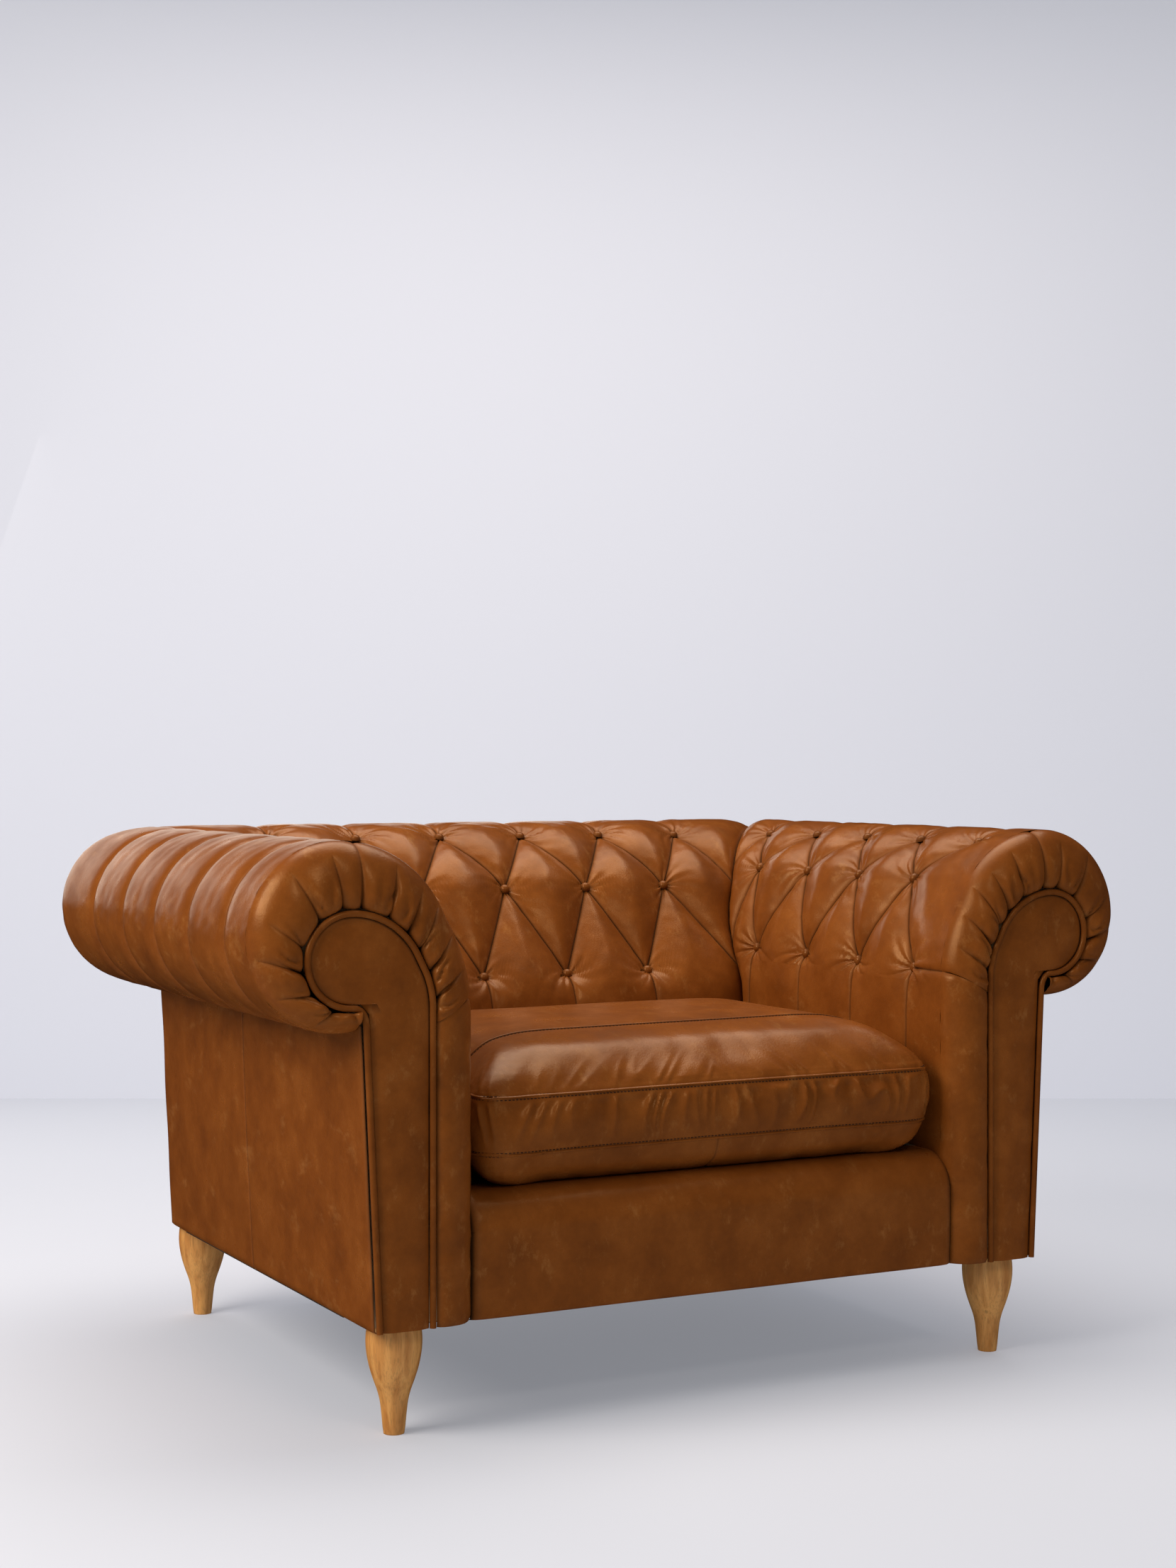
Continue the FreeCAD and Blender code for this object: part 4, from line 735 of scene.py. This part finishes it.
def facingPatch():
    # straight lines from the outline to a middle line that bends over to the head's centre; the crown rises
    # as a parabola from the edge and then stays level
    across, up = facingOutline()
    midAcross = (panel["inner"] + sideAt(np.minimum(up, panel["straightTo"]))) / 2
    share = np.clip((up - panel["bendFrom"]) / (panel["headUp"] - panel["bendFrom"]), 0, 1) ** 1.5
    outline = np.stack([across, up], axis=-1)[:, None]
    spine = np.stack([midAcross * (1 - share) + panel["headAcross"] * share,
                      np.minimum(up, panel["headUp"])], axis=-1)
    s, _ = np.meshgrid(np.linspace(0, 1, 14) ** 1.4, across)
    x, z = np.moveaxis(outline * (1 - s[..., None]) + spine[:, None] * s[..., None], -1, 0)
    crown = panel["crown"] * (1 - (1 - np.clip(s * 1.6, 0, 1)) ** 2)
    points = armPlace(x, panel["edge"] - crown + panel["ripple"] * wobble(x, z, 3), z)
    # painted shade: dark along the outline next to the piping, fading within the first steps inwards
    return points, gridFaces(*s.shape), np.clip(1 - s * 14, 0, 1) * 0.9


# cord piping round the facing: one round section carried up the inside, round the head and down the outside
piping = dict(radius=4.3, depth=0.5, endAngle=272.0, notch=26.0, sideGap=7.6, around=14)


def pipingPatch():
    # the path lies in the facing's plane, so the circle stands on the path's flat normal and on the way
    # forward
    lengths = np.linspace(chair["foot"] - facing["hipHeight"], lengthAt(facing, piping["endAngle"]), 240)
    head = np.stack(sectionPoint(facing, lengths, 0.0)[:2], axis=-1)
    downUp = np.linspace(head[-1, 1] - piping["notch"], chair["foot"], 70)
    down = np.stack([sideAt(downUp) - piping["sideGap"], downUp], axis=-1)
    # the turn at the notch is a short curve through both ends
    t = np.linspace(0, 1, 14)[1:-1, None]
    pull = np.array([down[0, 0] + 0.6, head[-1, 1] - 1.0])
    path = np.concatenate([head, (1 - t) ** 2 * head[-1] + 2 * t * (1 - t) * pull + t ** 2 * down[0], down])
    tangent = unit(np.gradient(path, axis=0))
    turn = np.linspace(0, 2 * np.pi, piping["around"], endpoint=False)
    sideways = piping["radius"] * np.cos(turn)
    forward = np.repeat(piping["depth"] - piping["radius"] * np.sin(turn)[None], len(path), axis=0)
    points = armPlace(path[:, :1] + tangent[:, 1:] * sideways, forward,
                      path[:, 1:] - tangent[:, :1] * sideways)
    # painted shade on the back half of the cord, where it lies against the facing
    tuck = np.repeat(np.clip(-np.sin(turn) * 1.6 + 0.25, 0, 1)[None], len(path), axis=0)
    return points, gridFaces(len(path), piping["around"], True), tuck


# outer panels: flat leather from the facing back round the rear corner, with one upright seam, and one at
# the rear
outside = dict(corner=40.0, seam=443.0, start=4.0, bow=2.0, rearBow=1.6, seamDip=1.8, frontDip=2.5,
               rearDip=2.0, ripple=0.6, turnUnder=3.5)
panelRows = np.concatenate([[chair["foot"] - 0.4], np.linspace(chair["foot"] + 3, chair["panelTop"] + 6, 60)])
rearHalf = chair["sideFoot"] - outside["corner"]


def outsidePatch():
    # the flared side with a slow bow and ripple, drawn in at the seam and the facing, and a quarter round
    # at the rear
    seam, start, corner = outside["seam"], outside["start"], outside["corner"]
    bendStart = chair["rear"] - corner
    bend = np.linspace(0, np.pi / 2, 20)[1:]
    straight = np.concatenate([start + (seam - start) * eased(60), seam + (bendStart - seam) * eased(60)[1:]])
    run, z = np.meshgrid(np.concatenate([straight, bendStart + corner * np.sin(bend)]), panelRows)
    inwards = np.concatenate([np.zeros(len(straight)), corner * (1 - np.cos(bend))])[None]
    bow = outside["bow"] * np.sin(np.pi * (z - chair["legTop"]) / panelHeight)
    bow = bow * np.sin(np.pi * np.clip(run / bendStart, 0, 1))
    bow = bow + outside["ripple"] * wobble(run, z, 14, low=0.002, high=0.01)
    dips = outside["seamDip"] * np.exp(-np.abs(run - seam) / 2.2)
    dips = dips + outside["frontDip"] * np.exp(-(run - start) / 3)
    x = sideAt(z) - inwards + bow - dips
    x[0] -= outside["turnUnder"]
    # painted shade in the drawn-in seam and along the front edge by the facing
    tuck = np.maximum(np.exp(-np.abs(run - seam) / 1.5), np.exp(-(run - start) / 3))
    return armPlace(x, run, z), gridFaces(*run.shape), tuck


def rearPatch():
    # flat, widening with the flare of the sides, with a slow bow and ripple and drawn in at its edges
    x, z = np.meshgrid(eased(120, 0.6) * 2 * rearHalf - rearHalf, panelRows)
    rise = (z - chair["legTop"]) / panelHeight
    # the edge value that draws the panel in at its sides also darkens it there with painted shade
    edge = np.exp(-(rearHalf - np.abs(x)) / 2.5)
    y = chair["rear"] + outside["rearBow"] * np.sin(np.pi * np.clip(rise, 0, 1)) - outside["rearDip"] * edge
    y = y + outside["ripple"] * wobble(x, z, 15, low=0.002, high=0.01)
    y[0] -= outside["turnUnder"]
    return backPlace(y, x * (1 + chair["sideFlare"] * rise / rearHalf), z), gridFaces(*x.shape), edge


# front border: one strip over the rail with a large round top edge
border = dict(face=10.0, turn=50.0, reach=92.0, half=377.0, endDip=7.0, belly=1.5, bellyFrom=150.0,
              roundFrom=255.0, ripple=0.8)


def frontBorderPatch():
    # a profile that goes up, round a quarter circle and level to the back, carried across and drawn in at
    # both ends
    face, turn, deck = border["face"], border["turn"], chair["deck"]
    bend = np.linspace(0, np.pi / 2, 30)
    rise = np.linspace(chair["foot"] + 2, deck - turn, 40)[:-1]
    level = np.linspace(face + turn, border["reach"], 12)[1:]
    depth = np.concatenate([[face + 4], np.full(len(rise), face), face + turn * (1 - np.cos(bend)), level])
    height = np.concatenate([[chair["foot"] - 0.4], rise, deck - turn * (1 - np.sin(bend)),
                             np.full(len(level), deck)])
    x, d = np.meshgrid(border["half"] * (2 * eased(160, 0.7) - 1), depth)
    z = np.repeat(height[:, None], x.shape[1], axis=1)
    ends = border["endDip"] * np.exp(-(border["half"] - np.abs(x)) / 6)
    share = np.clip((z - border["bellyFrom"]) / (deck - border["bellyFrom"]), 0, 1)
    belly = border["belly"] * np.sin(np.pi * share)
    d = d + ends + border["ripple"] * wobble(x, z, 17, low=0.001, high=0.006) - belly
    z = z - ends * (z > border["roundFrom"]) * 0.8
    # painted shade: darker at both ends, where the strip is drawn in against the arms
    return backPlace(d, x, z), gridFaces(*x.shape), np.clip(ends / 5, 0, 1)


borderNet, facingNet, pipingNet, outsideNet = borderPatch(), facingPatch(), pipingPatch(), outsidePatch()
for word, isLeft in sides:
    made = [(makePiece(word + "ArmBorder", [borderNet], hide, flip=True, mirror=isLeft),
             word + "_arm_border"),
            (makePiece(word + "ArmFacing", [facingNet], hide, mirror=isLeft), word + "_arm_facing"),
            (makePiece(word + "OuterPanel", [outsideNet], hide, mirror=isLeft), word + "_outer_arm_panel")]
    for piece, node in made:
        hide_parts(node)
    piece = makePiece(word + "FacingPiping", [pipingNet], hidePiping, flip=True, mirror=isLeft)
    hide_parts(word + "_facing_piping")
piece = makePiece("outerBackPanel", [rearPatch()], hide, flip=True)
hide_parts("outer_back_panel")
piece = makePiece("frontBorder", [frontBorderPatch()], hide)
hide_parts("front_border_cover", "front_border_pad")
print("panels and piping ready")

# seat platform under the cushion
platform = dict(half=370.5, near=93.0, far=579.0, sink=1.2, rise=1.0)


def deckPatch():
    # level, with a low swelling: the product of half a sine each way
    half, near, far = platform["half"], platform["near"], platform["far"]
    x, d = np.meshgrid(np.linspace(-half, half, 60), np.linspace(near, far, 40))
    swell = np.sin(np.pi * (x + half) / (2 * half)) * np.sin(np.pi * (d - near) / (far - near))
    z = chair["deck"] - platform["sink"] + platform["rise"] * swell
    return backPlace(d, x, z), gridFaces(*x.shape), 0.0


piece = makePiece("seatPlatform", [deckPatch()], liningCloth)
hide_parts("platform_lining", "platform_pad", "seat_felt")

# turned legs: a lathe profile through measured radii
legShape = dict(heights=[0, 2, 22, 41, 54, 70, 85, 101, 114, 123, 134, 140],
                radii=[12.8, 14, 15.8, 17.9, 21, 27, 31.8, 35.1, 36.4, 36.4, 35.3, 34.5],
                steps=90, around=48, soften=4, across=468.0, front=51.0, rear=808.0)


def legPatch(x, depth):
    # the evened radius at each height turned round the leg's axis, with a fan of faces over the foot and
    # the head
    steps, around = legShape["steps"], legShape["around"]
    height = np.linspace(0, chair["legTop"], steps)
    radius = evened(np.interp(height, legShape["heights"], legShape["radii"]), legShape["soften"])
    turn, z = np.meshgrid(np.linspace(0, 2 * np.pi, around, endpoint=False), height)
    net = armPlace(x + radius[:, None] * np.cos(turn), depth + radius[:, None] * np.sin(turn), z)
    centre = np.array([x, chair["front"] + depth, 0.0])
    foot = np.stack([net[0], np.broadcast_to(centre, net[0].shape)])
    head = np.stack([net[-1], np.broadcast_to(centre + (0, 0, chair["legTop"]), net[0].shape)])
    fan = gridFaces(2, around, True)
    return [(net, gridFaces(steps, around, True), 0.0), (foot, fan[:, ::-1], 0.0), (head, fan, 0.0)]


for word, side in (("right", 1), ("left", -1)):
    for place in ("front", "rear"):
        patches = legPatch(side * legShape["across"], legShape[place])
        piece = makePiece(f"{word}{place.title()}Leg", patches, oak)
        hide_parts(f"{word}_{place}_leg")
print("legs and platform ready")

# loose cushion: boxed border between two seams, crowned top; filled by a cloth simulation
cushion = dict(half=368.0, near=7.0, far=570.0, corner=40.0, base=301.2, lowSeam=347.0, belly=383.0,
               topSeam=420.0, crown=484.0, pressure=3.6, frames=20, cap=14.0, voxel=6.0, settle=24,
               pucker=6.5, seamAcross=150.0)


def cushionLoop(height, inset):
    # a rounded rectangle at a height: quarter circles at the four corners, joined by straight sides
    corner = cushion["corner"]
    right, far = cushion["half"] - inset - corner, cushion["far"] - inset - corner
    near = cushion["near"] + inset + corner
    loop = []
    for number, (x, y) in enumerate([(right, far), (-right, far), (-right, near), (right, near)]):
        angle = np.linspace(0, np.pi / 2, 14) + number * np.pi / 2
        loop.append(np.stack([x + corner * np.cos(angle), y + corner * np.sin(angle)], axis=-1))
    loop = np.concatenate(loop)
    return np.concatenate([loop, np.full((len(loop), 1), height)], axis=1)


def makeCushion():
    # rounded rectangles from the underside round the border to the crown, meshed evenly, blown up as cloth
    # by no more than the cap, and settled
    lowSeam, topSeam, crown = cushion["lowSeam"], cushion["topSeam"], cushion["crown"]
    rings = [(cushion["base"], 40), (cushion["base"] + 9, 18), (lowSeam, 6), (cushion["belly"], 3),
             (topSeam, 6), (topSeam + 22, 22), (topSeam + 44, 62), (crown - 8, 120), (crown, 210)]
    loops = np.stack([cushionLoop(height, inset) for height, inset in rings])
    count = loops.shape[1]
    points = loops.reshape(-1, 3) + (0, chair["front"], 0)
    mesh = bpy.data.meshes.new("seatCushion")
    caps = [list(range(count))[::-1], list(range(len(points) - count, len(points)))]
    mesh.from_pydata((points * mm).tolist(), [], gridFaces(len(rings), count, True).tolist() + caps)
    piece = bpy.data.objects.new("seatCushion", mesh)
    scene.collection.objects.link(piece)
    bpy.context.view_layer.objects.active = piece
    remesh = piece.modifiers.new("even", "REMESH")
    remesh.mode = "VOXEL"
    remesh.voxel_size = cushion["voxel"] * mm
    bpy.ops.object.modifier_apply(modifier="even")
    start = np.zeros(len(piece.data.vertices) * 3)
    piece.data.vertices.foreach_get("co", start)
    start = start.reshape(-1, 3)
    cloth = piece.modifiers.new("fill", "CLOTH")
    cloth.settings.use_pressure = True
    cloth.settings.uniform_pressure_force = cushion["pressure"]
    cloth.settings.effector_weights.gravity = 0
    cloth.settings.quality = 5
    cloth.point_cache.frame_end = cushion["frames"]
    for number in range(1, cushion["frames"] + 1):
        scene.frame_set(number)
    deps = bpy.context.evaluated_depsgraph_get()
    filled = np.zeros(len(start) * 3)
    piece.evaluated_get(deps).data.vertices.foreach_get("co", filled)
    piece.modifiers.remove(cloth)
    scene.frame_set(1)
    move = filled.reshape(-1, 3) - start
    far = np.linalg.norm(move, axis=1, keepdims=True)
    start = start + move * np.minimum(1, cushion["cap"] * mm / np.maximum(far, 1e-9))
    piece.data.vertices.foreach_set("co", start.reshape(-1))
    even = piece.modifiers.new("settle", "SMOOTH")
    even.factor = 0.5
    even.iterations = cushion["settle"]
    bpy.ops.object.modifier_apply(modifier="settle")
    smooth = piece.modifiers.new("fine", "SUBSURF")
    smooth.levels = smooth.render_levels = 1
    bpy.ops.object.modifier_apply(modifier="fine")
    return piece


seat = makeCushion()
spots = np.zeros(len(seat.data.vertices) * 3)
seat.data.vertices.foreach_get("co", spots)
spots = spots.reshape(-1, 3) / mm
spots[:, 1] -= chair["front"]
# keep it between the arms, the back and the platform
room = dict(half=368.5, soft=0.6, softFrom=366.0, far=577.0, floor=300.6)
out = np.abs(spots[:, 0])
widest = room["half"] - room["soft"] * np.exp(-np.abs(out - room["softFrom"]))
spots[:, 0] = np.sign(spots[:, 0]) * np.minimum(out, widest)
spots[:, 1] = np.minimum(spots[:, 1], room["far"])
spots[:, 2] = np.maximum(spots[:, 2], room["floor"])


def seatNormals(points):
    # outward directions from the mesh itself
    seat.data.vertices.foreach_set("co", ((points + (0, chair["front"], 0)) * mm).reshape(-1))
    seat.data.update()
    normals = np.zeros(len(points) * 3)
    seat.data.vertices.foreach_get("normal", normals)
    return normals.reshape(-1, 3)


# the cushion's skin: seams drawn in, and upright puckers that hang from the top seam and stand on it in
# clusters
skinShape = dict(seamWidth=4.0, seamDip=0.8, joinDip=1.6, joinLine=1.6, joinTo=120.0, topFrom=440.0,
                 hang=70.0, stand=46.0, wave=11.5, ripple=0.9, rippleFrom=430.0)


def seamAt(away):
    # 1 on a seam's line, falling off as a bell
    return np.exp(-(away / skinShape["seamWidth"]) ** 2)


normals = seatNormals(spots)
x, depth, z = spots.T
around = x + np.sign(x) * np.maximum(depth - cushion["near"], 0)
onSide = np.clip(2 - np.abs(normals[:, 2]) * 2.2, 0, 1)
onTop = (normals[:, 2] > 0.4) & (z > skinShape["topFrom"])
seams = (seamAt(z - cushion["topSeam"]) + seamAt(z - cushion["lowSeam"])) * onSide
seams = seams + np.where(onTop, seamAt(depth - cushion["seamAcross"]), 0)
joinSeam = np.exp(-np.abs(x) / skinShape["joinLine"]) * (depth < skinShape["joinTo"])
joinSeam = joinSeam * np.clip((cushion["lowSeam"] - z) / skinShape["seamWidth"], 0, 1)
below, above = (cushion["topSeam"] - z) / skinShape["hang"], (z - cushion["topSeam"]) / skinShape["stand"]
hang = np.clip(below * 7 - 0.4, 0, 1) * np.clip(1 - below, 0, 1)
stand = np.clip(above * 5 - 0.4, 0, 1) * np.clip(1 - above, 0, 1)
sway = 2.6 * wobble(around, z * 0.5, 41, low=0.004, high=0.016)
waves = 0.9 - 1.9 * np.abs(np.sin(around / skinShape["wave"] + sway)) ** 0.8
clusters = np.clip(0.75 + 0.7 * wobble(around, z * 0, 42, low=0.002, high=0.009), 0.08, 1.4)
move = cushion["pucker"] * (hang + 0.5 * stand) * waves * clusters * onSide
move = move - skinShape["seamDip"] * seams - skinShape["joinDip"] * joinSeam
move += skinShape["ripple"] * wobble(x, depth, 43, low=0.001, high=0.004) * (z > skinShape["rippleFrom"])
seatNormals(spots + normals * move[:, None])
# painted shade along the drawn-in seams, darkest on the upright joining seam
tuck = np.clip(0.3 * seams + 0.8 * joinSeam, 0, 1)
seat.data.attributes.new("tuck", "FLOAT", "POINT").data.foreach_set("value", tuck.astype(np.float32))
seat.data.polygons.foreach_set("use_smooth", np.ones(len(seat.data.polygons), bool))
seat.data.materials.append(hide)
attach(seat, "seat_cushion")
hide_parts("cushion_cover", "cushion_core")
print("cushion ready")

# seams of the cushion: a turned edge that stands a little proud, and a row of stitches beside it
stitch = dict(length=3.5, step=5.4, radius=0.6, away=2.6, lift=0.6)
lipSection = np.array([[3.4, -1.2], [2.4, 0.4], [1.3, 1.3], [0.2, 1.5], [-0.4, 0.7], [-0.5, -1.8]])
seamPath = dict(outside=30.0, steps=700, acrossHalf=338.0, acrossSteps=260, above=520.0, even=2)


def goneAlong(path):
    # length gone along a path at each of its points
    return np.concatenate([[0], np.cumsum(np.linalg.norm(np.diff(path, axis=0), axis=1))])


def pathAt(places, gone, values):
    # a path's values at other lengths along it
    return np.stack([np.interp(places, gone, line) for line in values.T], axis=-1)


def skinPath(tree, points, aims, closed):
    # where the aims from the points meet the skin, evened out along the path, with the way out of the skin
    # at each
    found = [tree.ray_cast(Vector(point * mm), Vector(aim))[:2] for point, aim in zip(points, aims)]
    found = [hit if hit[0] else tree.find_nearest(Vector(point * mm))[:2]
             for hit, point in zip(found, points)]
    spots, ways = np.array([list(spot) for spot, _ in found]) / mm, np.array([list(way) for _, way in found])
    mode = "wrap" if closed else "edge"
    spots, ways = [np.stack([evened(line, seamPath["even"], mode) for line in part.T], axis=-1)
                   for part in (spots, ways)]
    ways = unit(ways)
    ahead = np.roll(spots, -1, axis=0) - np.roll(spots, 1, axis=0) if closed else np.gradient(spots, axis=0)
    ahead = unit(ahead)
    return spots + ways * stitch["lift"], ways, ahead, np.cross(ways, ahead)


def lipPatch(path, turned, closed):
    # the lip's section carried along the path; turned puts it on the other side of the seam
    spots, ways, _, beside = path
    section = lipSection[::-1] * (-1, 1) if turned else lipSection
    net = spots[:, None] + beside[:, None] * section[None, :, :1] + ways[:, None] * section[None, :, 1:]
    net = np.concatenate([net, net[:1]]) if closed else net
    # painted shade: the lip's edges are darker where they meet the skin, and the one that turns under is
    # darkest
    tuck = np.where(np.abs(section[:, 0]) > 3, 0.3, np.where(section[:, 1] < 0, 0.9, 0.0))
    return net, gridFaces(*net.shape[:2]), np.repeat(tuck[None], len(net), axis=0)


def stitchPatch(path, turned):
    # a six-sided spindle at every step, laid in the skin beside the lip
    spots, ways, ahead, beside = path
    gone = goneAlong(spots)
    places = np.arange(stitch["step"], gone[-1] - stitch["step"], stitch["step"])
    line = spots + beside * stitch["away"] * (1 if turned else -1)
    centre, out, along, side = [pathAt(places, gone, part)[:, None, None]
                                for part in (line, ways, ahead, beside)]
    turn = np.linspace(0, 2 * np.pi, 6, endpoint=False)[None, None, :, None]
    rounds = np.array([[-0.5, 0.2], [-0.38, 1.0], [0.38, 1.0], [0.5, 0.2]])[None, :, None]
    net = centre + along * rounds[..., :1] * stitch["length"]
    net = net + stitch["radius"] * rounds[..., 1:] * (side * np.cos(turn) + out * np.sin(turn))
    faces = (gridFaces(4, 6, True)[None] + (np.arange(len(net)) * 24)[:, None, None]).reshape(-1, 4)
    return net.reshape(-1, 3), faces, 0.0


work = bmesh.new()
work.from_mesh(seat.data)
skin = BVHTree.FromBMesh(work)
work.free()
lips, rowsOfStitches = [], []
for height, turned in ((cushion["topSeam"], False), (cushion["lowSeam"], True)):
    loop = cushionLoop(height, -seamPath["outside"]) + (0, chair["front"], 0)
    loop = np.concatenate([loop, loop[:1]])
    gone = goneAlong(loop)
    loop = pathAt(np.linspace(0, gone[-1], seamPath["steps"], endpoint=False), gone, loop)
    inwards = np.cross((0, 0, 1), np.roll(loop, -1, axis=0) - np.roll(loop, 1, axis=0))
    path = skinPath(skin, loop, unit(inwards), True)
    lips.append(lipPatch(path, turned, True))
    rowsOfStitches.append(stitchPatch(path, turned))
line = np.linspace(-seamPath["acrossHalf"], seamPath["acrossHalf"], seamPath["acrossSteps"])
line = backPlace(np.full_like(line, cushion["seamAcross"]), line, np.full_like(line, seamPath["above"]))
path = skinPath(skin, line, np.tile((0.0, 0.0, -1.0), (len(line), 1)), False)
lips.append(lipPatch(path, False, False))
rowsOfStitches.append(stitchPatch(path, False))
makePiece("cushionSeams", lips, hide, body="seat_cushion", merge=False)
makePiece("cushionStitches", rowsOfStitches, threadCloth, body="seat_cushion", merge=False)
print("cushion seams ready")

# what stays of the frame under the leather
for name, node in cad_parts.items():
    finish = {"leg_bolts": zinc, "dust_cover": liningCloth}.get(name, frameWood)
    node.data.materials.clear()
    node.data.materials.append(webCloth if name.startswith("webbing") else finish)

# floor and wall of one pale blue-grey studio; the wall stands square to the view behind the chair
studio = dict(floor="#b3b8c4", wall="#b8bcc8", glow="#dde0ea", lamp="#fff3e4", air="#f4f1ec",
              floorGlow=0.29, wallGlow=0.34, airGlow=0.27, wallAway=6.13, half=9, deep=12, high=7)
# the camera as fitted to the photograph: lens and shift in its pixels, place in millimetres, yaw in degrees
view = dict(imageWide=1659, focalPixels=3386.1, shiftPixels=-26.4, sensor=36.0,
            place=(-1671.2, -2774.7, 851.2), yaw=27.687)
camera = bpy.data.cameras.new("photoCamera")
camera.sensor_fit = "HORIZONTAL"
camera.sensor_width = view["sensor"]
camera.lens = view["sensor"] * view["focalPixels"] / view["imageWide"]
camera.shift_y = view["shiftPixels"] / view["imageWide"]
camera.clip_end = 100
eye = bpy.data.objects.new("photoCamera", camera)
eye.location = armPlace(*view["place"]) * mm
yaw = math.radians(view["yaw"])
eye.rotation_euler = (math.pi / 2, 0, -yaw)
scene.collection.objects.link(eye)
scene.camera = eye


def makeStage(name, corners, paint, glow):
    # painted boards with a faint even glow, like a lit cove; they light the chair but don't show in its
    # shine
    material, tree, shader = newMaterial(name)
    shader.inputs["Base Color"].default_value = linear(paint)
    shader.inputs["Emission Color"].default_value = linear(studio["glow"])
    shader.inputs["Emission Strength"].default_value = glow
    shader.inputs["Roughness"].default_value = 0.85
    mesh = bpy.data.meshes.new(name)
    mesh.from_pydata(np.array(corners).tolist(), [], [(0, 1, 2, 3)])
    mesh.materials.append(material)
    piece = bpy.data.objects.new(name, mesh)
    piece.visible_glossy = False
    scene.collection.objects.link(piece)


forward, right = np.array([math.sin(yaw), math.cos(yaw), 0]), np.array([math.cos(yaw), -math.sin(yaw), 0])
wallFoot = np.array([eye.location.x, eye.location.y, 0]) + forward * studio["wallAway"]
footLeft, footRight = wallFoot - right * studio["half"], wallFoot + right * studio["half"]
nearer, higher = -forward * studio["deep"], np.array([0, 0, studio["high"]])
floorCorners = [footLeft + nearer, footRight + nearer, footRight, footLeft]
wallCorners = [footLeft, footRight, footRight + higher, footLeft + higher]
makeStage("studioFloor", floorCorners, studio["floor"], studio["floorGlow"])
makeStage("studioWall", wallCorners, studio["wall"], studio["wallGlow"])

world = bpy.data.worlds.new("studioWorld")
world.use_nodes = True
world.node_tree.nodes["Background"].inputs["Color"].default_value = linear(studio["air"])
world.node_tree.nodes["Background"].inputs["Strength"].default_value = studio["airGlow"]
world.cycles_visibility.glossy = False
scene.world = world


def softLight(name, place, aim, size, power):
    # a rectangular softbox that looks from its place at its aim
    lamp = bpy.data.lights.new(name, "AREA")
    lamp.shape = "RECTANGLE"
    lamp.size, lamp.size_y = size
    lamp.energy = power
    lamp.color = linear(studio["lamp"])[:3]
    holder = bpy.data.objects.new(name, lamp)
    holder.location = place
    holder.rotation_euler = (Vector(aim) - Vector(place)).to_track_quat("-Z", "Y").to_euler()
    scene.collection.objects.link(holder)
    return holder


softLight("keySoftbox", place=(-3.1, -0.5, 2.5), aim=(0, 0, 0.5), size=(2.2, 2.0), power=112)
softLight("topSoftbox", place=(0.3, 0.5, 3.2), aim=(0, 0, 0.4), size=(3.0, 2.0), power=76)
softLight("fillSoftbox", place=(-0.4, -3.3, 2.9), aim=(0, 0, 0.4), size=(0.9, 0.5), power=13)
# a low softbox behind the chair, out of the picture, draws the sheen along the tops of the rolls
rim = softLight("rimSoftbox", place=(0.1, 2.9, 1.15), aim=(0, 0, 0.7), size=(3.0, 1.1), power=16)
rim.visible_camera = False
print("studio ready")
